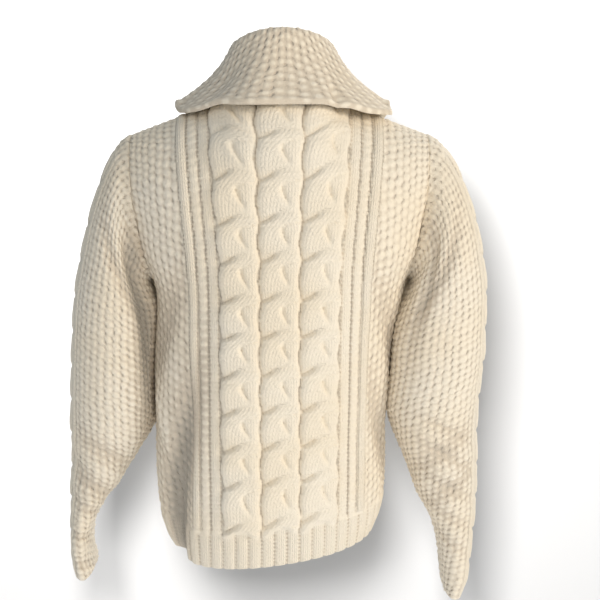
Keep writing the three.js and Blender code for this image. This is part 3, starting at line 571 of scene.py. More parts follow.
def back_pattern(across, along, sizes):
    """Moss sides, three ribs each side and three rope cables over a ribbed hem."""
    moss_rise, cable_rise = sizes.moss_rise / MM, sizes.cable_rise / MM
    pattern = moss_pattern(across, along, BODY_MOSS, moss_rise, seed=11)
    across = gathered_in(across, along)
    x = np.abs(across)
    wave = GUTTER_WAVE * np.cos(2 * np.pi * (along - FIRST_CROSSING) / CABLE_PITCH)
    waved = across + wave * (1 - smooth(x, CABLES_EDGE, CABLES_EDGE + 8))
    cable = np.clip(np.round(waved / CABLE_WIDTH), -1, 1)
    drift = np.where(cable > 0, -4.0, np.where(cable < 0, 1.5, 0.0))
    rise, wale, hollow, calm = rope(
        waved - cable * CABLE_WIDTH, along - drift, cable_rise, sizes.cable_lift / MM
    )
    in_cables = (np.abs(waved) < CABLES_EDGE).astype(float)
    pattern.lay(in_cables, rise, wale, along / COURSE, 0.6 * calm, hollow)
    for middle, half, height, knobs, plain in RIBS:
        off = (x - middle) / half
        on = (np.abs(off) < RIB_REACH).astype(float)
        ridge = rib_ridge(off)
        beat = wave_up(along / KNOB_PITCH + middle / (4 * np.pi))
        knob = ridge * (1 - knobs * (1 - beat))
        bar = wave_up(along / COURSE)
        knob = np.maximum(knob, 0.55 * bar)
        # Painted shade in the rib's gutters and between its knobs.
        hollow = (0.95 - 0.6 * bar) * (1 - ridge) + knobs * (1 - beat)
        pattern.lay(on, sizes.rib_rise / MM * height * knob, off, along / COURSE, plain, hollow)
    add_hem_rib(pattern, x, along, sizes)
    return pattern


def add_hem_rib(pattern, x, along, sizes):
    """Knit-two, purl-one rib along the hem."""
    off = 2 * np.abs(x / HEM_RIB_WIDTH - np.round(x / HEM_RIB_WIDTH))
    bar = wave_up(along / COURSE)
    ridge = np.sqrt(np.clip(1 - (off / 0.84) ** 4, 0, 1))
    ridge = np.maximum(ridge, 0.6 * bar * smooth(off, 0.7, 0.85))
    arch = 5 * np.cos(2 * np.pi * x / CABLE_WIDTH) * (x < CABLES_EDGE)
    top = along - arch - 3 * wobble(x, along, 22, 9)
    where = 1 - smooth(top, HEM_RIB_HEIGHT - 8, HEM_RIB_HEIGHT + 6)
    # The last value is the hollow: painted shade in the gutters between ribs.
    pattern.lay(
        where, sizes.hem_rise / MM * ridge, 2.9 * x / HEM_RIB_WIDTH, along / COURSE, 0.8, 1 - ridge
    )
    pattern.plain = pattern.plain * smooth(np.abs(where - 0.5), 0.1, 0.4)


def moss_pattern(across, along, bump, rise, seed):
    """Moss stitch all over, with bumps of a width and height."""
    pattern = Pattern(across.shape)
    raised, column, row, hollow = moss(across, along, *bump, rise, seed)
    pattern.lay(np.ones(across.shape), raised, column, row, 0.0, hollow)
    pattern.moss = np.ones(across.shape)
    return pattern


def sleeve_pattern(across, along, knitted, sizes, seed):
    """Moss stitch with a rope cable and two ribs down the outer line of the arm."""
    x = np.abs(across)
    pattern = moss_pattern(across, knitted, SLEEVE_MOSS, sizes.sleeve_moss_rise / MM, seed)
    relief, lift = sizes.arm_cable_rise / MM, sizes.cable_lift / MM / 3
    rise, wale, hollow, calm = rope(across, along, relief, lift)
    start = smooth(along, 14, 40)
    on = (x < CABLE_WIDTH / 2) * start
    pattern.lay(on, rise, wale, along / COURSE, 0.5 * calm, hollow)
    off = (x - ARM_RIB_PLACE) / ARM_RIB_HALF
    ridge = rib_ridge(off)
    on = (np.abs(off) < 1) * start
    # The last value is the hollow: painted shade at the rib's low sides.
    pattern.lay(on, sizes.rib_rise / MM * 0.7 * ridge, off, along / COURSE, 0.8, 0.7 * (1 - ridge))
    return pattern


def edge_round(distance, radius):
    """How full the wall is at a distance from its edge, so that edges are round."""
    t = np.clip(distance / radius, 0, 1)
    return np.clip(np.sqrt(1 - (1 - t) ** 2), 0.12, 1)


# ------------------------------------------------------------------ meshes
def grid_faces(rows, columns, start, closed, flip):
    """Four-sided faces of a grid of points."""
    r = np.arange(rows - 1)[:, None]
    c = np.arange(columns if closed else columns - 1)[None, :]
    n = (c + 1) % columns
    faces = np.stack(
        [r * columns + c, r * columns + n, (r + 1) * columns + n, (r + 1) * columns + c], -1
    ).reshape(-1, 4)
    return (faces[:, ::-1] if flip else faces) + start


def rim_faces(outer_line, inner_line, picks, flip):
    """Faces between an edge of the outside and the sparser edge of the inside."""
    faces = []
    for k, (first, last) in enumerate(zip(picks, picks[1:])):
        face = [*outer_line[first : last + 1].tolist(), int(inner_line[k + 1]), int(inner_line[k])]
        faces.append(face[::-1] if flip else face)
    return faces


def knitted_mesh(name, outer, inner, pattern, stride=INNER_STRIDE, closed=False):
    """One closed mesh: a fine outside, an inside with fewer points, and their rims.
    outer and inner are grids of the same size, in millimetres."""
    rows, columns = outer.shape[:2]
    row_picks = [*range(0, rows - 1, stride), rows - 1]
    column_picks = [*range(0, columns if closed else columns - 1, stride)]
    if not closed:
        column_picks.append(columns - 1)
    sparse = np.ix_(row_picks, column_picks)
    start, shape = rows * columns, (len(row_picks), len(column_picks))
    vertices = np.concatenate([outer.reshape(-1, 3), inner[sparse].reshape(-1, 3)]) * MM
    outer_ids = np.arange(start).reshape(rows, columns)
    inner_ids = start + np.arange(shape[0] * shape[1]).reshape(shape)
    faces = grid_faces(rows, columns, 0, closed, False).tolist()
    faces += grid_faces(*shape, start, closed, True).tolist()
    if closed:
        column_picks = column_picks + [columns]
        outer_ids, inner_ids = (np.hstack([ids, ids[:, :1]]) for ids in (outer_ids, inner_ids))
    for end in (0, -1):
        faces += rim_faces(outer_ids[end], inner_ids[end], column_picks, end == 0)
    if not closed:
        for end in (0, -1):
            faces += rim_faces(outer_ids[:, end], inner_ids[:, end], row_picks, end == -1)
    mesh = bpy.data.meshes.new(name)
    mesh.from_pydata(vertices.tolist(), [], faces)
    mesh.validate()
    face_outward(mesh)
    shown = pattern.plain - np.clip(2 * pattern.moss - 1, 0, 1)
    stitches = np.stack([pattern.wale, pattern.course, shown], -1)
    inside = stitches[sparse].reshape(-1, 3)
    stitches = np.concatenate([stitches.reshape(-1, 3), inside])
    hollow = np.clip(pattern.hollow, 0, MOST_HOLLOW).reshape(-1)
    hollow = np.concatenate([hollow, np.full(len(inside), INSIDE_HOLLOW)])
    write_attribute(mesh, "stitch", "FLOAT_VECTOR", "vector", stitches)
    write_attribute(mesh, "hollow", "FLOAT", "value", hollow)
    return link_smooth(name, mesh)


def write_attribute(mesh, name, kind, field, values):
    """Numbers kept at the points of a mesh for its material."""
    made = mesh.attributes.new(name, kind, "POINT")
    made.data.foreach_set(field, values.astype(np.float32).ravel())


def link_smooth(name, mesh):
    """A smooth-shaded object of a mesh, linked to the scene."""
    mesh.polygons.foreach_set("use_smooth", np.ones(len(mesh.polygons), bool))
    made = bpy.data.objects.new(name, mesh)
    bpy.context.scene.collection.objects.link(made)
    return made


def face_outward(mesh):
    """Turn the faces of a closed mesh outward."""
    mesh.calc_loop_triangles()
    corners = np.empty(len(mesh.loop_triangles) * 3, int)
    mesh.loop_triangles.foreach_get("vertices", corners)
    places = np.empty(len(mesh.vertices) * 3)
    mesh.vertices.foreach_get("co", places)
    a, b, c = places.reshape(-1, 3)[corners.reshape(-1, 3)].transpose(1, 0, 2)
    if np.einsum("ij,ij->i", a, np.cross(b, c)).sum() < 0:
        mesh.flip_normals()


def flat_cut(widths, along):
    """Size of the flat cut of a piece from its rows, and its area, in metres."""
    area = float(np.sum((widths[1:] + widths[:-1]) / 2 * np.diff(along))) * MM * MM
    return (float(widths.max()) * MM, float(along[-1]) * MM), area


def wall_sides(middle, normal, full, rise, lift):
    """Outside and inside of a wall round its middle. full is how full it is near its
    edges, rise is the relief of its outside and lift moves both sides."""
    outer = middle + normal * (WALL / 2 * full + rise + lift)[..., None]
    inner = middle + normal * (lift - WALL / 2 * full)[..., None]
    return outer, inner


def finish_piece(piece, material, node):
    """Give a piece its material and its place in the frame, and hide the solid it replaces."""
    piece.data.materials.append(material)
    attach(piece, "root")
    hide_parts(node)
    return piece


# ------------------------------------------------------------------ back and fronts
def back_columns():
    """Columns at their flat size over the cables and ribs, and shares of the sides."""
    panel = np.linspace(-PANEL_EDGE, PANEL_EDGE, 2 * round(PANEL_EDGE / GRID) + 1)
    shares = np.linspace(0, 1, 51)[1:]
    return panel, shares


def back_across(heights):
    """Signed flat distances from the centre line of every column in every row."""
    panel, shares = back_columns()
    rows = []
    for height in heights:
        left = mix(-PANEL_EDGE, -edge_across(1, -1, height), shares[::-1])
        right = mix(PANEL_EDGE, edge_across(1, 1, height), shares)
        rows.append(np.concatenate([left, panel, right]))
    return np.array(rows)


def body_edges(side, across, heights):
    """Distance from every point to the side seam or armhole of its half."""
    edge = np.array([[edge_across(side, way, h) for way in (1, -1)] for h in heights])
    return np.where(across >= 0, edge[:, :1], edge[:, 1:]) - np.abs(across)


def eased(points, across, heights):
    """The back's yoke with the ridges below the ends of the neckline eased out."""
    soft, inside = points, (np.abs(across) < PANEL_EDGE - GRID)[..., None]
    for _ in range(EASING_ROUNDS):
        sides = (np.roll(soft, 1, axis=1) + np.roll(soft, -1, axis=1)) / 2
        soft = np.where(inside, (soft + sides) / 2, points)
    share = smooth(heights, YOKE_HEIGHT - 20, YOKE_HEIGHT + 40)
    share = share * (1 - smooth(heights, BACK_LENGTH - 55, BACK_LENGTH - 12))
    share = share[:, None] * (1 - smooth(np.abs(across), PANEL_EDGE - 45, PANEL_EDGE - 5))
    return mix(points, soft, share[..., None])


def body_surfaces(side, across, heights, pattern, start=0.0):
    """Outside and inside of a body piece. start is where its free folds begin."""
    middle = body_middle(side, across, heights)
    if side > 0:
        middle = eased(middle, across, heights)
    normal = grid_normals(middle) * (-1 if side > 0 else 1)
    to_edge = body_edges(side, across, heights)
    along = heights[:, None] + 0 * across
    folds = fold_height(BACK_FOLDS if side > 0 else FRONT_FOLDS, across, along)
    folds = folds * smooth(to_edge, 0, 30)
    folds = folds * (1 - smooth(along, BACK_LENGTH - 60, BACK_LENGTH - 20))
    if start:
        folds = folds * smooth(np.abs(across), start, start + 30)
    near = np.minimum(np.minimum(to_edge, along), BACK_LENGTH - along)
    if start:
        near = np.minimum(near, np.abs(across) - start)
    full = edge_round(near, EDGE_RADIUS)
    rise = pattern.rise * smooth(near, 0, 4)
    rise = rise * (1 - smooth(along, BACK_LENGTH - 16, BACK_LENGTH - 4))
    # Painted shade in the troughs of the folds.
    pattern.hollow = pattern.hollow + painted_shade_of_folds(folds)
    outer, inner = wall_sides(middle, normal, full, rise, folds)
    shift = np.array([0, side * SIDE_GAP, 0])
    return outer + shift, inner + shift


def build_back(sizes):
    """The back, from the hem to the neck and shoulder seams."""
    heights = np.linspace(0, BACK_LENGTH, round(BACK_LENGTH / GRID) + 1)
    across = back_across(heights)
    along = heights[:, None] + 0 * across
    pattern = back_pattern(across, along, sizes)
    outer, inner = body_surfaces(1, across, heights, pattern)
    piece = knitted_mesh("knitted_back", outer, inner, pattern)
    return piece, *flat_cut(across[:, -1] - across[:, 0], heights)


def build_front(way, sizes):
    """The left or right front, from the button band to the side seam."""
    heights = np.linspace(0, BACK_LENGTH, round(BACK_LENGTH / GRID) + 1)
    fixed = np.linspace(FRONT_EDGE, NECK_HALF_WIDTH + 0.5, 27)
    shares = np.linspace(0, 1, 71)[1:]
    rows = []
    for height in heights:
        rest = mix(fixed[-1], edge_across(-1, way, height), shares)
        rows.append(way * np.concatenate([fixed, rest]))
    across = np.array(rows)
    along = heights[:, None] + 0 * across
    pattern = moss_pattern(across, along, BODY_MOSS, sizes.moss_rise / MM, seed=31 + way)
    add_hem_rib(pattern, np.abs(across), along, sizes)
    if way < 0:
        across, pattern = across[:, ::-1], mirrored(pattern)
    outer, inner = body_surfaces(-1, across, heights, pattern, FRONT_EDGE)
    name = "knitted_left_front" if way > 0 else "knitted_right_front"
    piece = knitted_mesh(name, outer, inner, pattern)
    return piece, *flat_cut(across[:, -1] - across[:, 0], heights)


def mirrored(pattern):
    """A pattern with its columns in the other order."""
    for name in ("rise", "wale", "course", "plain", "moss", "hollow"):
        setattr(pattern, name, getattr(pattern, name)[:, ::-1])
    return pattern


# ------------------------------------------------------------------ sleeves
BODY_ZS = np.arange(HEM_Z, UNDERARM_Z + 24, 4.0)
BODY_YS = np.arange(-112.0, 113.0, 4.0)


@functools.lru_cache(maxsize=None)
def body_side_table(way):
    """How far out the side of the body stands, by height and by depth."""
    rows = []
    for z in BODY_ZS:
        halves = [section_row(side, z, way)[1][EIGHTH : QUARTER + 1] for side in (-1, 1)]
        line = np.concatenate(halves)
        line = line[np.argsort(line[:, 1])]
        rows.append(np.interp(BODY_YS, line[:, 1], line[:, 0]))
    return np.array(rows)


def body_side(way, y, z):
    """The body's side at points of a depth and a height."""
    grid = body_side_table(way)
    i = np.clip((z - BODY_ZS[0]) / 4, 0, len(BODY_ZS) - 1.001)
    j = np.clip((y - BODY_YS[0]) / 4, 0, len(BODY_YS) - 1.001)
    a, b = i.astype(int), j.astype(int)
    u, v = i - a, j - b
    low = mix(grid[a, b], grid[a + 1, b], u)
    high = mix(grid[a, b + 1], grid[a + 1, b + 1], u)
    return mix(low, high, v)


def sleeve_rings(sleeve, way, along, angle):
    """Points of the middle of a sleeve's wall, rows down the arm, columns by angle."""
    place = read(sleeve, "order", along, "along")[:, None]

    def at(name):
        return read(sleeve, name, place, "order")

    out = np.stack([way * at("out_x"), at("y"), at("out_z")], -1)
    inn = np.stack([way * at("in_x"), at("y"), at("in_z")], -1)
    middle = (out + inn) / 2
    across = out - middle
    half = np.linalg.norm(across, axis=-1)
    c = np.abs(np.cos(angle) / half) ** SLEEVE_POWER
    s = np.abs(np.sin(angle) / at("depth")) ** SLEEVE_POWER
    radius = (c + s) ** (-1 / SLEEVE_POWER)
    axis = np.stack([-across[..., 2], 0 * half, across[..., 0]], -1) * (-way / half)[..., None]
    points = middle + across * (radius * np.cos(angle) / half)[..., None]
    points = points + np.stack([0 * radius, radius * np.sin(angle), 0 * radius], -1)
    points = points + axis * (at("bow") * np.sin(angle) ** 2)[..., None]
    x, y, z = points[..., 0], points[..., 1], points[..., 2]
    rest = way * body_side(way, y, z) + WALL + SLEEVE_CLEARANCE
    off = way * x - rest
    soft = (off + np.hypot(off, 2)) / 2
    held = way * (rest + mix(off, soft, smooth(-z, -UNDERARM_Z - 10, -UNDERARM_Z + 20)))
    leans = (np.cos(angle) < 0) & (z < UNDERARM_Z + 10) & (z > HEM_Z + 60)
    points[..., 0] = np.where(leans, held, x)
    return points


def armhole_line(side, way):
    """The armhole's edge from the shoulder tip to the underarm and, at each point, the
    direction that leads off the body."""
    heights = np.linspace(BACK_LENGTH, UNDERARM_HEIGHT, 80)
    edge = np.array([edge_across(side, way, h) for h in heights])
    across = way * np.stack([edge - 3.0, edge], 1)
    points = body_middle(side, across, heights)
    points[..., 1] += side * SIDE_GAP
    along = unit(np.gradient(points[:, 1], axis=0))
    off = points[:, 1] - points[:, 0]
    off = unit(off - along * np.sum(off * along, axis=1)[:, None])
    return points[:, 1], off


def armhole_columns(way, across, half):
    """Armhole points and directions for the columns of a sleeve."""
    lines = {}
    for side in (1, -1):
        points, off = armhole_line(side, way)
        lines[side] = [points, off]
    for end, direction in ((0, (way, 0, 0)), (-1, (0, 0, 1))):
        shared = (lines[1][0][end] + lines[-1][0][end]) / 2
        for side in (1, -1):
            lines[side][0][end] = shared
            lines[side][1][end] = direction
    share = np.abs(across) / half
    places, offs = np.empty((len(across), 3)), np.empty((len(across), 3))
    for side, chosen in ((1, across >= 0), (-1, across < 0)):
        points, off = lines[side]
        lengths = arc_lengths(points)
        lengths = lengths / lengths[-1]
        places[chosen] = along_line(lengths, points, share[chosen])
        offs[chosen] = unit(along_line(lengths, off, share[chosen]))
    return places, offs


def sleeve_grid(sleeve, way):
    """Middle of a sleeve's wall with the flat place of every point."""
    end, start = sleeve["along"][-1], sleeve["along"][1]
    seam_rows = np.linspace(0, start, 8)[:-1]
    along = np.linspace(start, end, round((end - start) / GRID) + 1)
    angle = np.radians(np.arange(0, 181, 1.5))
    halves = [sleeve_rings(sleeve, way, along, sign * angle[None, :]) for sign in (1, -1)]
    panel = np.linspace(0, SLEEVE_PANEL_EDGE, 24)
    shares = np.linspace(0, 1, 79)[1:]
    across, points = [], []
    for r in range(len(along)):
        flats, places = [], []
        for half, stretch in zip(halves, (slice(None), slice(-2, 0, -1))):
            lengths = arc_lengths(half[r])
            flat = np.concatenate([panel, mix(SLEEVE_PANEL_EDGE, lengths[-1], shares)])[stretch]
            flats.append(flat)
            places.append(along_line(lengths, half[r], flat))
        across.append(np.concatenate([flats[0], -flats[1]]))
        points.append(np.concatenate(places))
    across, points = np.array(across), np.array(points)
    first = points[0]
    drop = unit(points[1] - points[0])
    edge, off = armhole_columns(way, across[0], across[0].max())
    edge = edge + off * (SEAM + 0.1)
    reach = np.linalg.norm(first - edge, axis=1)[:, None]
    head = [hermite(edge, off * reach, first, drop * reach, s / start) for s in seam_rows]
    points = np.concatenate([np.array(head), points])
    across = np.concatenate([np.repeat(across[:1], len(head), 0), across])
    return points, across, np.concatenate([seam_rows, along])


def build_sleeve(way, sizes):
    """The left or right sleeve, from the armhole to the cuff."""
    sleeve = LEFT_SLEEVE if way > 0 else RIGHT_SLEEVE
    points, across, rows = sleeve_grid(sleeve, way)
    along = rows[:, None] + 0 * across
    down_arm = np.linalg.norm(np.diff(points, axis=0), axis=2)
    down_arm = np.concatenate([0 * across[:1], np.cumsum(down_arm, axis=0)])
    pattern = sleeve_pattern(across, along, down_arm - down_arm[-1:] + rows[-1], sizes, 51 + way)
    normal = grid_normals(points, closed=True)
    centre = points.mean(axis=1, keepdims=True)
    if np.sum(normal * (points - centre)) < 0:
        normal = -normal
    creases = LEFT_CREASES if way > 0 else RIGHT_CREASES
    folds = fold_height(SLEEVE_FOLDS, across, along) + fold_height(creases, across, along)
    # Painted shade in the troughs of the folds and creases, from the armhole down.
    pattern.hollow = pattern.hollow + painted_shade_of_folds(folds * smooth(along, 0, 25))
    folds = folds * smooth(along, 20, 70)
    near = np.minimum(along, rows[-1] - along)
    full = edge_round(near, EDGE_RADIUS)
    rise = pattern.rise * smooth(near, 0, 4)
    outer, inner = wall_sides(points, normal, full, rise, folds)
    name = "knitted_left_sleeve" if way > 0 else "knitted_right_sleeve"
    piece = knitted_mesh(name, outer, inner, pattern, closed=True)
    return piece, *flat_cut(across.max(axis=1) - across.min(axis=1), rows)


# Creases of the hanging sleeves, in the same columns as the folds.
LEFT_CREASES = table(
    FOLDS,
    (178, 200, 240, 27, 0, -16),
    (150, 70, 80, 18, 0, -5),
    (70, 560, 60, 9, 58, -3.5),
    (62, 610, 50, 8, 60, -3.0),
    (58, 655, 45, 8, 62, -3.0),
    (64, 505, 60, 10, 55, -2.5),
    (52, 700, 40, 7, 66, -3.0),
)
RIGHT_CREASES = table(
    FOLDS,
    (152, 130, 130, 13, 4, -7),
    (96, 430, 55, 9, -56, -3.0),
    (90, 480, 60, 9, -58, -3.5),
    (86, 530, 55, 8, -60, -3.0),
    (84, 575, 50, 8, -60, -3.0),
    (78, 620, 45, 8, -62, -2.5),
)


# ------------------------------------------------------------------ collar
COLLAR_END = 168.0  # how far round the neck it reaches from the centre back, in degrees
COLLAR_COLUMNS = 310
STAND_ROWS = 28  # inside, from the seam up to the fold
TURN_ROWS = 12
FALL_ROWS = 56  # outside, from the fold down to the free edge
FOLD_RADIUS = 7.0


def collar_lines(angle):
    """Where the collar is sewn on, folds over and ends, and the way out from the neck."""
    sin, cos = np.sin(angle), np.cos(angle)
    rear = cos >= 0
    rise, fall = np.clip(cos, 0, 1), np.clip(-cos, 0, 1)
    x = NECK_HALF_WIDTH * sin
    seam = np.where(rear[:, None], neck_points(1, x), neck_points(-1, x))
    outward = unit(np.stack([sin, cos, 0 * sin], -1))
    slant = np.where(rear, 0.5 * rise, 0.88 * fall)
    seam = seam - outward * ((WALL / 2) * (1 + slant) + 6 * SEAM)[:, None]
    seam[:, 2] -= 1
    fold = np.stack(
        [66 * sin - 5, np.where(rear, 68, 96) * cos, 42 + 25 * rise**1.3 - 79 * fall**1.5], -1
    )
    ripple = 5 * np.sin(5.2 * angle + 0.6) + 3 * np.sin(9 * angle - 0.8)
    edge = np.stack(
        [
            np.where(sin < 0, 160, 141) * np.sign(sin) * np.abs(sin) ** 0.9,
            np.where(rear, 110 * rise**1.15, -148 * fall),
            -31 + 7 * rise - 102 * fall**1.5,
        ],
        -1,
    )
    left_lip = 11 * smooth(sin, 0.45, 0.9)
    right_flap = 14 * smooth(-sin, 0.42, 0.75)
    edge[:, 2] -= (left_lip + right_flap) * smooth(cos, -0.05, 0.3)
    edge = edge + outward * (0.8 * ripple)[:, None]
    return seam, fold, edge, outward


def collar_middle(angle):
    """Middle of the collar's wall: columns round the neck, rows from its seam over the
    fold to its free edge."""
    seam, fold, edge, outward = collar_lines(angle)
    inside, outside = fold - outward * FOLD_RADIUS, fold + outward * FOLD_RADIUS
    rows = []
    for t in np.linspace(0, 1, STAND_ROWS)[:-1]:
        rows.append(mix(seam, inside, t) - outward * 4 * t * (1 - t))
    for turn in np.linspace(math.pi, 0, TURN_ROWS):
        up = np.array([0, 0, FOLD_RADIUS * math.sin(turn)])
        rows.append(fold + outward * FOLD_RADIUS * math.cos(turn) + up)
    for t in np.linspace(0, 1, FALL_ROWS)[1:]:
        rows.append(mix(outside, edge, t) + outward * (3 * t**4 - 9 * math.sin(math.pi * t)))
    return np.array(rows)


# Soft folds of the collar, along from its free edge.
COLLAR_FOLDS = table(
    FOLDS,
    (96, 52, 34, 22, 18, -8),
    (70, 12, 20, 16, 0, 3),
    (-52, 16, 30, 8, -14, -9),
    (-78, 16, 22, 18, 0, 4),
    (-100, 60, 30, 18, -10, -3),
)


def build_collar(sizes):
    """The wide collar, folded over all round the neck."""
    angle = np.radians(np.linspace(-COLLAR_END, COLLAR_END, COLLAR_COLUMNS))
    points = collar_middle(angle)
    normal = -grid_normals(points)
    if np.sum(normal[-20:] * (points[-20:] * (1, 1, 0))) < 0:
        normal = -normal
    lengths = np.array([arc_lengths(points[:, c]) for c in range(points.shape[1])]).T
    mid_fall = arc_lengths(points[-FALL_ROWS // 2])
    across = np.repeat((mid_fall - mid_fall[-1] / 2)[None, :], len(points), 0)
    pattern = moss_pattern(across, lengths, COLLAR_MOSS, 0.65 * sizes.moss_rise / MM, seed=71)
    to_edge = lengths[-1:] - lengths
    to_end = np.minimum(mid_fall, mid_fall[-1] - mid_fall)[None, :]
    near = np.minimum(np.minimum(lengths, to_edge), to_end)
    lip = np.exp(-(((to_edge - 5) / 4.5) ** 2))
    full = edge_round(near, COLLAR_EDGE_RADIUS)
    rise = pattern.rise * smooth(near, 2, 12)
    pattern.moss = pattern.moss * smooth(near, 0, 10)
    # Painted shade: the whole collar is darkened a little.
    pattern.hollow = pattern.hollow + 0.3
    folds = fold_height(COLLAR_FOLDS, across, to_edge)
    outer = points + normal * (WALL / 2 * full + rise + 3.0 * lip * full + folds)[..., None]
    inner = points - normal * (WALL / 2 * full + 1.6 * lip * full - folds)[..., None]
    piece = knitted_mesh("knitted_collar", outer, inner, pattern, stride=3)
    widths = np.array([arc_lengths(row)[-1] for row in points])
    depth = float(lengths[-1].max())
    area = float(np.sum(lengths[-1][1:] * np.diff(mid_fall))) * MM * MM
    return piece, (float(widths.max()) * MM, depth * MM), area


# ------------------------------------------------------------------ bands and buttons
def build_band(over, sizes):
    """The band under the fastening, or the wider one that laps over it."""
    right = BAND_HALF_WIDTH + (BAND_LAP if over else 0)
    lift = np.float64(OVERBAND_LIFT if over else 0.0)
    columns = np.linspace(-BAND_HALF_WIDTH, right, round((BAND_HALF_WIDTH + right) / 1.6) + 1)
    heights = np.linspace(0, BACK_LENGTH, round(BACK_LENGTH / GRID) + 1)
    across = np.repeat(columns[None, :], len(heights), 0)
    along = heights[:, None] + 0 * across
    middle = body_middle(-1, across, heights)
    normal = grid_normals(middle)
    ribs = wave_up((across - BAND_RIB_START) / BAND_RIB_WIDTH)
    near = np.minimum(
        np.minimum(across - columns[0], columns[-1] - across),
        np.minimum(along, BACK_LENGTH - along),
    )
    pattern = Pattern(across.shape)
    wale = 2 * (across - BAND_RIB_START) / BAND_RIB_WIDTH
    # The last value is the hollow: painted shade in the troughs between ribs.
    pattern.lay(1.0 + 0 * ribs, ribs, wale, along / COURSE, 1.0, 1 - ribs)
    rise = sizes.band_rise / MM * ribs * smooth(near, 0, 5)
    for height in button_heights():
        seat = np.exp(-((np.hypot(across, along - height) / 15) ** 6))
        rise = rise * (1 - seat)
    full = edge_round(near, WALL / 2)
    outer, inner = wall_sides(middle, normal, full, rise, lift)
    shift = np.array([0, -SIDE_GAP, 0])
    name = "ribbed_buttonhole_band" if over else "ribbed_button_band"
    piece = knitted_mesh(name, outer + shift, inner + shift, pattern)
    size = ((right + BAND_HALF_WIDTH) * MM, BACK_LENGTH * MM)
    return piece, size, size[0] * size[1]


def button_heights():
    """Heights of the buttons above the hem."""
    return [LOWEST_BUTTON + k * BUTTON_SPACING for k in range(len(BUTTON_NODES))]


def ring(radius, sides):
    """Points of a level circle round the origin."""
    turn = 2 * math.pi * np.arange(sides) / sides
    return np.stack([radius * np.cos(turn), radius * np.sin(turn), 0 * turn], -1)


def skin(rings, start=0):
    """Vertices and faces of a closed skin over rings of points and both its ends."""
    sides, last = len(rings[0]), len(rings) - 1
    faces = grid_faces(last + 1, sides, start, True, False).tolist()
    faces.append([start + k for k in range(sides)][::-1])
    faces.append([start + last * sides + k for k in range(sides)])
    return [tuple(point) for points in rings for point in points], faces


def tube_along(points, radius, sides, start):
    """A round thread along a line of points."""
    points = np.array(points, float)
    way = unit(np.gradient(points, axis=0))
    side = unit(np.cross(way, (0.13, 0.21, 1.0)))
    top = np.cross(side, way)
    x, y = ring(radius, sides).T[:2, :, None]
    return skin([p + x * a + y * b for p, a, b in zip(points, side, top)], start)


def tubes(lines, radius, sides):
    """Vertices and faces of round threads along several lines."""
    vertices, faces = [], []
    for line in lines:
        more, sides_of = tube_along(line, radius, sides, len(vertices))
        vertices += more
        faces += sides_of
    return vertices, faces


def new_object(name, vertices, faces):
    """A mesh object linked to the scene, from millimetres."""
    mesh = bpy.data.meshes.new(name)
    mesh.from_pydata([tuple(MM * v for v in vertex) for vertex in vertices], [], faces)
    return link_smooth(name, mesh)


# Radius and height round a button's rim, from its underside up and in to its middle.
BUTTON_PROFILE = (
    *((10.4, 0.0), (11.6, 0.4), (12.3, 1.2), (12.5, 2.1), (12.3, 3.2), (11.6, 4.1)),
    *((10.7, 4.5), (9.9, 4.3), (9.1, 3.8), (8.0, 3.5), (4.0, 3.4)),
)
HOLE_SPREAD = 3.2
HOLE_RADIUS = 1.3
THREAD_RADIUS = 0.5
BUTTON_SIDES = 64


def build_button(node, height):
    """One four-hole button, sewn on with a cross of wool."""
    corners = [math.pi / 2 * k + math.pi / 4 for k in range(4)]
    profile = [ring(radius, BUTTON_SIDES) + (0, 0, up) for radius, up in BUTTON_PROFILE]
    body = new_object("horn_" + node, *skin(profile))
    holes = []
    for turn in corners:
        x, y = HOLE_SPREAD * math.cos(turn), HOLE_SPREAD * math.sin(turn)
        holes.append([(x, y, -2), (x, y, 2), (x, y, 8)])
    drill = new_object("Drill", *tubes(holes, HOLE_RADIUS, 20))
    cut = body.modifiers.new("Holes", "BOOLEAN")
    cut.operation, cut.object, cut.solver = "DIFFERENCE", drill, "EXACT"
    drilled = body.evaluated_get(bpy.context.evaluated_depsgraph_get())
    mesh = bpy.data.meshes.new_from_object(drilled)
    body.modifiers.clear()
    body.data = mesh
    bpy.data.objects.remove(drill)
    body.data.shade_smooth()
    t = np.linspace(-1, 1, 13)
    lines = []
    for k, turn in enumerate(corners[:2]):
        out, lift = HOLE_SPREAD * t, 4.5 - 2.6 * t**8 - 0.25 * t * t + 0.35 * k * (1 - t * t)
        for shift in (-0.55, 0.55):
            x = out * math.cos(turn) - shift * math.sin(turn)
            y = out * math.sin(turn) + shift * math.cos(turn)
            lines.append(np.stack([x, y, lift], -1))
    thread = new_object("sewing_wool_" + node[-1], *tubes(lines, THREAD_RADIUS, 8))
    patch = np.array([[-0.5, 0.0, 0.5]] * 3)
    points = body_middle(-1, patch, np.array([height - 0.5, height, height + 0.5]))
    out = grid_normals(points)[1, 1]
    seat = points[1, 1] + out * (OVERBAND_LIFT + WALL / 2 + SEAM) + (0, -SIDE_GAP, 0)
    turn = Vector((0, 0, 1)).rotation_difference(Vector(out)).to_matrix().to_4x4()
    place = Matrix.Translation(Vector(seat) * MM) @ turn
    for made in (body, thread):
        made.data.transform(place)
    return body, thread


# ------------------------------------------------------------------ materials
class Number:
    """A number in a shader, which takes ordinary arithmetic."""

    def __init__(self, nodes, socket):
        self.nodes, self.socket = nodes, socket

    def math(self, operation, *others):
        """The result of a Math node with this number first."""
        return self.nodes.math(operation, self, *others)

    def __add__(self, other):
        return self.math("ADD", other)

    def __sub__(self, other):
        return self.math("SUBTRACT", other)

    def __rsub__(self, other):
        return self.nodes.math("SUBTRACT", other, self)

    def __mul__(self, other):
        return self.math("MULTIPLY", other)

    def __truediv__(self, other):
        return self.math("DIVIDE", other)

    def __pow__(self, other):
        return self.math("POWER", other)

    def __abs__(self):
        return self.math("ABSOLUTE")


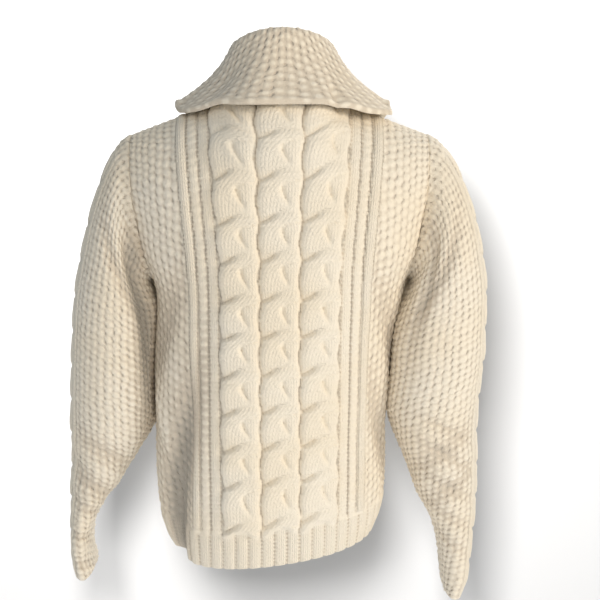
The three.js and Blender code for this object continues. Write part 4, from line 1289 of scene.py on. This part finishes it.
class Nodes:
    """Short ways to place and join shader nodes."""

    def __init__(self, tree):
        self.tree = tree

    def plug(self, value, socket):
        """Give a socket a plain value or the output of another node."""
        value = getattr(value, "socket", value)
        if isinstance(value, bpy.types.NodeSocket):
            self.tree.links.new(value, socket)
        else:
            socket.default_value = value

    def add(self, kind, values=(), **settings):
        """A node of a kind. values are (input, number or output) pairs."""
        node = self.tree.nodes.new("ShaderNode" + kind)
        for name, value in settings.items():
            setattr(node, name, value)
        for socket, value in values:
            self.plug(value, node.inputs[socket])
        return node

    def math(self, operation, *values):
        """The result of a Math node."""
        node = self.add("Math", list(enumerate(values)), operation=operation)
        return Number(self, node.outputs[0])

    def blend(self, share, a, b):
        """A colour between two others."""
        node = self.add("Mix", data_type="RGBA")
        for name, value in (("Factor", share), ("A", a), ("B", b)):
            self.plug(value, next(s for s in node.inputs if s.name == name and s.enabled))
        return next(s for s in node.outputs if s.enabled)

    def ramp(self, share, *stops):
        """Numbers read from a soft curve of (place, value) stops."""
        node = self.add("ValToRGB", [(0, share)])
        node.color_ramp.interpolation = "EASE"
        for point, (place, value) in zip(node.color_ramp.elements, stops):
            point.position, point.color = place, (value, value, value, 1)
        return Number(self, node.outputs[0])

    def place(self):
        """Where on its piece a point is."""
        return self.add("TexCoord").outputs["Object"]

    def noise(self, place, scale, detail):
        """Soft random lumps from 0 to 1."""
        values = [("Vector", place), ("Scale", scale), ("Detail", detail)]
        return Number(self, self.add("TexNoise", values).outputs[0])

    def bump(self, shader, height, distance, strength=1.0):
        """Fine relief on a shader, its distance in metres."""
        values = [("Strength", strength), ("Distance", distance), ("Height", height)]
        self.plug(self.add("Bump", values).outputs[0], shader.inputs["Normal"])


@functools.lru_cache(maxsize=None)
def yarn_group():
    """Knitted yarn: legs of the stitches, ply, fuzz, and painted shade in the hollows, the gaps
    between stitch legs and the pits round moss bumps.
    """
    group = bpy.data.node_groups.new("Knitted yarn", "ShaderNodeTree")
    sockets = group.interface
    sockets.new_socket("Stitch", in_out="INPUT", socket_type="NodeSocketVector")
    for name, default in (("Hollow", 0.0), ("Lumps per metre", 260.0), ("Fuzz per metre", 900.0)):
        made = sockets.new_socket(name, in_out="INPUT", socket_type="NodeSocketFloat")
        made.default_value = default
    for name in ("Height", "Shade", "Tint"):
        sockets.new_socket(name, in_out="OUTPUT", socket_type="NodeSocketFloat")
    n = Nodes(group)
    given = group.nodes.new("NodeGroupInput").outputs
    results = group.nodes.new("NodeGroupOutput").inputs
    parts = n.add("SeparateXYZ", [(0, given["Stitch"])]).outputs
    wale, course, plain = (Number(n, part) for part in parts)
    place = n.place()

    # The two slanting legs of each plain stitch.
    off = abs(wale.math("FRACT") - 0.5)
    leg = (off * (2 * math.pi)).math("SINE")
    slant = course + off * 1.1
    beat = abs((slant * math.pi).math("SINE"))
    shown = plain.math("MAXIMUM", 0.0)
    stitch = leg * beat**0.6 * shown

    # The pits round each moss bump, which follow the bumps of the mesh. They are dented and
    # painted with shade.
    column = wale.math("FLOOR")
    stagger = (column * 7.3).math("SINE") * MOSS_STAGGER
    down = course - column * MOSS_STEP + stagger
    side = wale - column - 0.5
    down = (down + 0.5).math("FRACT") - 0.5
    down = down - side * 0.22
    wide = abs(side / 0.56) ** 2.2
    tall = abs((down - 0.05) / 0.6) ** 2.2
    pit = n.ramp((wide + tall) * 0.5, (0.3, 0.0), (0.85, 1.0))
    spot = abs(side).math("MINIMUM", abs(down))
    pit = pit * 0.7 + n.ramp(spot, (0.22, 0.0), (0.45, 1.0))
    pit = pit * (plain * -1.0).math("MAXIMUM", 0.0)
    pit = pit * n.ramp(n.noise(place, 110.0, 1.0), (0.35, 0.25), (0.62, 1.2))

    lumps = n.noise(place, given["Lumps per metre"], 2.0)
    fuzz = n.noise(place, given["Fuzz per metre"], 3.0)
    height = stitch * 0.7 + lumps * 0.9 + fuzz * 0.45 - pit * 0.9
    gap = shown * (1.0 - leg * beat)
    # Painted shade: deeper hollows, the gaps between stitch legs and the pits are darkened. The
    # fuzz term is random tone.
    deep = n.ramp(given["Hollow"], (0.35, 0.0), (1.0, 1.0))
    shade = deep * 0.75 + gap * 0.16 + pit * 0.2 + (0.5 - fuzz) * 0.35
    for name, value in (("Height", height), ("Shade", shade), ("Tint", n.noise(place, 9.0, 2.0))):
        n.plug(value, results[name])
    return group


def new_material(name, **uniform):
    """A material with its Principled shader, whose uniform inputs are given by name."""
    material = bpy.data.materials.new(name)
    material.use_nodes = True
    tree = material.node_tree
    shader = next(x for x in tree.nodes if x.type == "BSDF_PRINCIPLED")
    for socket, value in uniform.items():
        shader.inputs[socket.replace("_", " ")].default_value = value
    return material, Nodes(tree), shader


def opaque(colour):
    """A colour with nothing showing through it."""
    return (*colour, 1.0)


def wool_material(name, colours, lumps=260.0):
    """Cream wool that follows the stitches of its piece, with painted shade in the hollows between
    stitches and in the troughs of its folds.
    """
    material, n, shader = new_material(
        name,
        Roughness=0.95,
        Specular_IOR_Level=0.2,
        Sheen_Weight=0.25,
        Sheen_Roughness=0.6,
        Sheen_Tint=(1.0, 0.93, 0.82, 1.0),
    )
    stitch = n.add("Attribute", attribute_name="stitch").outputs["Vector"]
    hollow = Number(n, n.add("Attribute", attribute_name="hollow").outputs["Fac"])
    values = [("Stitch", stitch), ("Hollow", hollow), ("Lumps per metre", lumps)]
    yarn = n.add("Group", node_tree=yarn_group())
    for socket, value in values:
        n.plug(value, yarn.inputs[socket])
    shade = n.add("Clamp", [(0, yarn.outputs["Shade"])]).outputs[0]
    cloud = n.ramp(yarn.outputs["Tint"], (0.3, 0.0), (0.7, 1.0))
    lit = n.blend(cloud, opaque(colours.wool_light), opaque(colours.wool_warm))
    # Painted shade: the Shade mask darkens the wool towards the painted hollow shade colour.
    colour = n.blend(shade, lit, opaque(colours.painted_hollow_shade))
    # Painted shade: hollows above 1 come from the folds' troughs and blend towards the painted
    # fold shade.
    trough = n.ramp(hollow * 0.4, (0.36, 0.0), (1.05, 0.88))
    colour = n.blend(trough, colour, opaque(colours.painted_fold_shade))
    n.plug(colour, shader.inputs["Base Color"])
    n.bump(shader, yarn.outputs["Height"], 0.0013)
    return material


def horn_material(colours):
    """Polished horn with slow streaks and fine scratches."""
    material, n, shader = new_material("Button horn", Coat_Weight=0.3)
    place = n.place()
    stretched = n.add("Mapping", [("Vector", place), ("Scale", (60.0, 60.0, 420.0))]).outputs[0]
    streaks = n.noise(stretched, 1.0, 5.0)
    share = n.ramp(streaks, (0.35, 0.0), (0.68, 1.0))
    colour = n.blend(share, opaque(colours.horn_dark), opaque(colours.horn_light))
    n.plug(colour, shader.inputs["Base Color"])
    n.bump(shader, n.noise(place, 2400.0, 2.0), 0.0002, 0.2)
    n.plug(n.ramp(streaks, (0.2, 0.26), (0.8, 0.4)), shader.inputs["Roughness"])
    return material


def thread_material(colours):
    """Plied wool that the buttons are sewn on with."""
    material, n, shader = new_material(
        "Sewing wool", Base_Color=opaque(colours.wool_warm), Roughness=0.9
    )
    n.bump(shader, n.noise(n.place(), 2500.0, 2.0), 0.0002)
    return material


def studio_material(colours, backdrop=False):
    """Plain matt paper that glows a little. As a backdrop it is a picture behind the
    garment: it lets light through, and views from behind it."""
    material, n, shader = new_material(
        "Studio backdrop" if backdrop else "Studio floor",
        Base_Color=opaque(colours.paper),
        Roughness=0.9,
        Emission_Color=opaque(colours.paper),
        Emission_Strength=PAPER_GLOW,
    )
    n.bump(shader, n.noise(n.place(), 700.0, 2.0), 0.0003, 0.04)
    if backdrop:
        clear = n.add("BsdfTransparent").outputs[0]
        behind = n.add("NewGeometry").outputs["Backfacing"]
        seen = Number(n, n.add("LightPath").outputs["Is Camera Ray"])
        hidden = n.math("MAXIMUM", behind, 1.0 - seen)
        both = n.add("MixShader", [(0, hidden), (1, shader.outputs[0]), (2, clear)])
        output = next(x for x in n.tree.nodes if x.type == "OUTPUT_MATERIAL")
        n.plug(both.outputs[0], output.inputs["Surface"])
    return material


# ------------------------------------------------------------------ what a user may change
def length(name, description, millimetres):
    """A property that holds a length."""
    return FloatProperty(
        name=name,
        description=description,
        default=millimetres * MM,
        min=0.0,
        precision=4,
        subtype="DISTANCE",
        unit="LENGTH",
    )


def colour(name, description, red_green_blue):
    """A property that holds a colour."""
    return FloatVectorProperty(
        name=name,
        description=description,
        default=red_green_blue,
        size=3,
        min=0.0,
        max=1.0,
        subtype="COLOR",
    )


class KnitSizes(bpy.types.PropertyGroup):
    """How far the knitted patterns stand up."""

    moss_rise: length("Moss rise", "Height of the moss bumps of the body and collar", 2.0)
    sleeve_moss_rise: length("Sleeve moss rise", "Height of the sleeves' moss bumps", 2.0)
    cable_rise: length("Cable rise", "Height of a rope cable's strands", 8.2)
    arm_cable_rise: length("Sleeve cable rise", "Height of the cables on the sleeves", 4.0)
    cable_lift: length("Cable lift", "How far the upper strand passes over the lower", 3.0)
    rib_rise: length("Rib rise", "Height of the ribs beside the cables", 3.7)
    hem_rise: length("Hem rise", "Height of the ribs along the hem", 3.5)
    band_rise: length("Band rise", "Height of the ribs of the front bands", 1.6)


class KnitColours(bpy.types.PropertyGroup):
    """Colours of the wool, the buttons and the studio."""

    wool_light: colour("Wool", "Cream wool in the light", (0.845, 0.77, 0.645))
    wool_warm: colour("Warm wool", "Slightly yellower patches of the wool", (0.835, 0.74, 0.59))
    # Painted shade: the dark colour that the deepest fold troughs are blended towards.
    painted_fold_shade: colour("Painted fold shade", "Wool deep in the folds", (0.34, 0.305, 0.255))
    # Painted shade: the colour that the hollows between stitches are darkened towards.
    painted_hollow_shade: colour("Painted hollow shade", "Wool in the hollows between stitches", (0.60, 0.51, 0.40))
    horn_dark: colour("Dark horn", "Dark streaks of the buttons", (0.10, 0.045, 0.02))
    horn_light: colour("Light horn", "Light streaks of the buttons", (0.42, 0.23, 0.10))
    paper: colour("Studio paper", "Floor and backdrop", (0.55, 0.54, 0.53))


def choices(context):
    """Sizes and colours of the scene."""
    return context.scene.cardigan_sizes, context.scene.cardigan_colours


def place_sheet(made, material, node):
    """Put a knitted piece in the frame with its material, in place of its solid."""
    piece, flat, area = made
    finish_piece(piece, material, node)


class Maker:
    """What every operator does: build from the scene's sizes and colours."""

    def execute(self, context):
        self.build(context, *choices(context))
        return {"FINISHED"}


class CARDIGAN_OT_back(Maker, bpy.types.Operator):
    """Knit the back with its moss sides, ribs and three rope cables"""

    bl_idname = "cardigan.back"
    bl_label = "Back"

    def build(self, context, sizes, colours):
        wool = wool_material("Body wool", colours)
        place_sheet(build_back(sizes), wool, "back")


class CARDIGAN_OT_fronts(Maker, bpy.types.Operator):
    """Knit the left and right fronts in moss stitch"""

    bl_idname = "cardigan.fronts"
    bl_label = "Fronts"

    def build(self, context, sizes, colours):
        wool = wool_material("Front wool", colours)
        for way, node in ((1, "front_left"), (-1, "front_right")):
            place_sheet(build_front(way, sizes), wool, node)


class CARDIGAN_OT_sleeves(Maker, bpy.types.Operator):
    """Knit both sleeves with a cable and ribs down the outer line of the arm"""

    bl_idname = "cardigan.sleeves"
    bl_label = "Sleeves"

    def build(self, context, sizes, colours):
        wool = wool_material("Sleeve wool", colours, lumps=300.0)
        for way, node in ((1, "sleeve_left"), (-1, "sleeve_right")):
            place_sheet(build_sleeve(way, sizes), wool, node)


class CARDIGAN_OT_collar(Maker, bpy.types.Operator):
    """Knit the wide collar in moss stitch"""

    bl_idname = "cardigan.collar"
    bl_label = "Collar"

    def build(self, context, sizes, colours):
        wool = wool_material("Collar wool", colours)
        place_sheet(build_collar(sizes), wool, "collar")


class CARDIGAN_OT_bands(Maker, bpy.types.Operator):
    """Knit the ribbed bands of the front opening"""

    bl_idname = "cardigan.bands"
    bl_label = "Front bands"

    def build(self, context, sizes, colours):
        wool = wool_material("Band wool", colours, lumps=320.0)
        for over, node in ((False, "band_under"), (True, "band_over")):
            place_sheet(build_band(over, sizes), wool, node)


class CARDIGAN_OT_buttons(Maker, bpy.types.Operator):
    """Turn the horn buttons and sew them on"""

    bl_idname = "cardigan.buttons"
    bl_label = "Buttons"

    def build(self, context, sizes, colours):
        horn = horn_material(colours)
        thread_wool = thread_material(colours)
        for node, height in zip(BUTTON_NODES, button_heights()):
            button, thread = build_button(node, height)
            finish_piece(button, horn, node)
            thread.data.materials.append(thread_wool)
            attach(thread, "root")


# ------------------------------------------------------------------ studio
CAMERA_PLACE = (0.0, 1.72, 0.06)
CAMERA_PITCH = 77.7
CAMERA_YAW = 179.02
CAMERA_VIEW = 28.2
FLOOR_Z = -0.99
BACKDROP_Y = -0.34
PAPER_GLOW = 0.02
# Lights: name, place, what it faces, size, power and tint.
LIGHTS = (
    ("Side light", (-2.1, 1.2, 0.5), (0, 0, -0.35), 0.7, 26.0, (1.0, 0.9, 0.76)),
    ("Soft light", (-0.6, 2.2, 0.6), (0, 0, -0.35), 1.2, 19.0, (1.0, 0.91, 0.79)),
    ("Front light", (-0.9, -2.2, 1.0), (0, 0, -0.35), 1.2, 45.0, (1.0, 0.98, 0.95)),
    ("Paper light", (0.18, 1.75, 0.37), (0, BACKDROP_Y, -0.4), 0.44, 90.0, (1.0, 1.0, 1.0)),
)
SKY_COLOUR = (0.82, 0.91, 1.0, 1.0)
SKY_STRENGTH = 0.46
PAPER_REACH = 6.0


def add_light(name, place, target, size, power, tint):
    """A square soft light that faces a point."""
    data = bpy.data.lights.new(name, "AREA")
    data.size, data.energy, data.color = size, power, tint
    lamp = bpy.data.objects.new(name, data)
    way = Vector(target) - Vector(place)
    turn = way.to_track_quat("-Z", "Y").to_matrix().to_4x4()
    lamp.matrix_world = Matrix.Translation(place) @ turn
    bpy.context.scene.collection.objects.link(lamp)
    return lamp


def add_plane(name, corners, material):
    """A flat stage piece through four corners."""
    mesh = bpy.data.meshes.new(name)
    mesh.from_pydata(corners, [], [(0, 1, 2, 3)])
    plane = bpy.data.objects.new(name, mesh)
    plane.data.materials.append(material)
    bpy.context.scene.collection.objects.link(plane)
    return plane


def gather(name, things, state):
    """A collection that lets a light reach only some things, or leave them out."""
    collection = bpy.data.collections.new(name)
    for thing in things:
        collection.objects.link(thing)
    for member in collection.collection_objects:
        member.light_linking.link_state = state
    return collection


class CARDIGAN_OT_studio(Maker, bpy.types.Operator):
    """Set up the pale floor, the backdrop, the soft lights and the camera"""

    bl_idname = "cardigan.studio"
    bl_label = "Studio"

    def build(self, context, sizes, colours):
        wide, z, y = PAPER_REACH, FLOOR_Z, BACKDROP_Y
        floor = [(-wide, -wide, z), (wide, -wide, z), (wide, wide, z), (-wide, wide, z)]
        papers = [add_plane("pale_floor", floor, studio_material(colours))]
        wall = [(wide, y, z), (-wide, y, z), (-wide, y, z + wide), (wide, y, z + wide)]
        papers.append(add_plane("pale_backdrop", wall, studio_material(colours, backdrop=True)))
        side, soft, _, paper = (add_light(*light) for light in LIGHTS)
        paper.light_linking.receiver_collection = gather("Lit papers", papers, "INCLUDE")
        for lamp in (side, soft):
            lamp.light_linking.receiver_collection = gather("Papers left out", papers, "EXCLUDE")
        world = bpy.data.worlds.new("Soft white room")
        world.use_nodes = True
        sky = next(x for x in world.node_tree.nodes if x.type == "BACKGROUND")
        sky.inputs["Color"].default_value = SKY_COLOUR
        sky.inputs["Strength"].default_value = SKY_STRENGTH
        context.scene.world = world
        context.scene.view_settings.view_transform = "Standard"
        data = bpy.data.cameras.new("Camera")
        data.angle = math.radians(CAMERA_VIEW)
        camera = bpy.data.objects.new("Camera", data)
        camera.location = CAMERA_PLACE
        camera.rotation_euler = (math.radians(CAMERA_PITCH), 0, math.radians(CAMERA_YAW))
        context.scene.collection.objects.link(camera)
        context.scene.camera = camera


# ------------------------------------------------------------------ panel and run
PIECE_OPERATORS = (
    CARDIGAN_OT_back,
    CARDIGAN_OT_fronts,
    CARDIGAN_OT_sleeves,
    CARDIGAN_OT_collar,
    CARDIGAN_OT_bands,
    CARDIGAN_OT_buttons,
    CARDIGAN_OT_studio,
)


class CARDIGAN_PT_panel(bpy.types.Panel):
    """Sizes, colours and pieces of the cardigan"""

    bl_idname = "CARDIGAN_PT_panel"
    bl_label = "Fisherman cardigan"
    bl_space_type = "VIEW_3D"
    bl_region_type = "UI"
    bl_category = "Cardigan"

    def draw(self, context):
        layout = self.layout
        for group in choices(context):
            box = layout.box()
            for name in group.bl_rna.properties.keys():
                if name not in {"rna_type", "name"}:
                    box.prop(group, name)
        for operator in PIECE_OPERATORS:
            layout.operator(operator.bl_idname)


CLASSES = (KnitSizes, KnitColours, *PIECE_OPERATORS, CARDIGAN_PT_panel)


def register():
    """Add the properties, operators and panel."""
    for each in CLASSES:
        bpy.utils.register_class(each)
    bpy.types.Scene.cardigan_sizes = PointerProperty(type=KnitSizes)
    bpy.types.Scene.cardigan_colours = PointerProperty(type=KnitColours)


def unregister():
    """Take them away again."""
    del bpy.types.Scene.cardigan_sizes
    del bpy.types.Scene.cardigan_colours
    for each in reversed(CLASSES):
        bpy.utils.unregister_class(each)


def main():
    """Build every piece and the studio."""
    register()
    bpy.ops.cardigan.back()
    bpy.ops.cardigan.fronts()
    bpy.ops.cardigan.sleeves()
    bpy.ops.cardigan.collar()
    bpy.ops.cardigan.bands()
    bpy.ops.cardigan.buttons()
    bpy.ops.cardigan.studio()


if __name__ == "__main__":
    main()
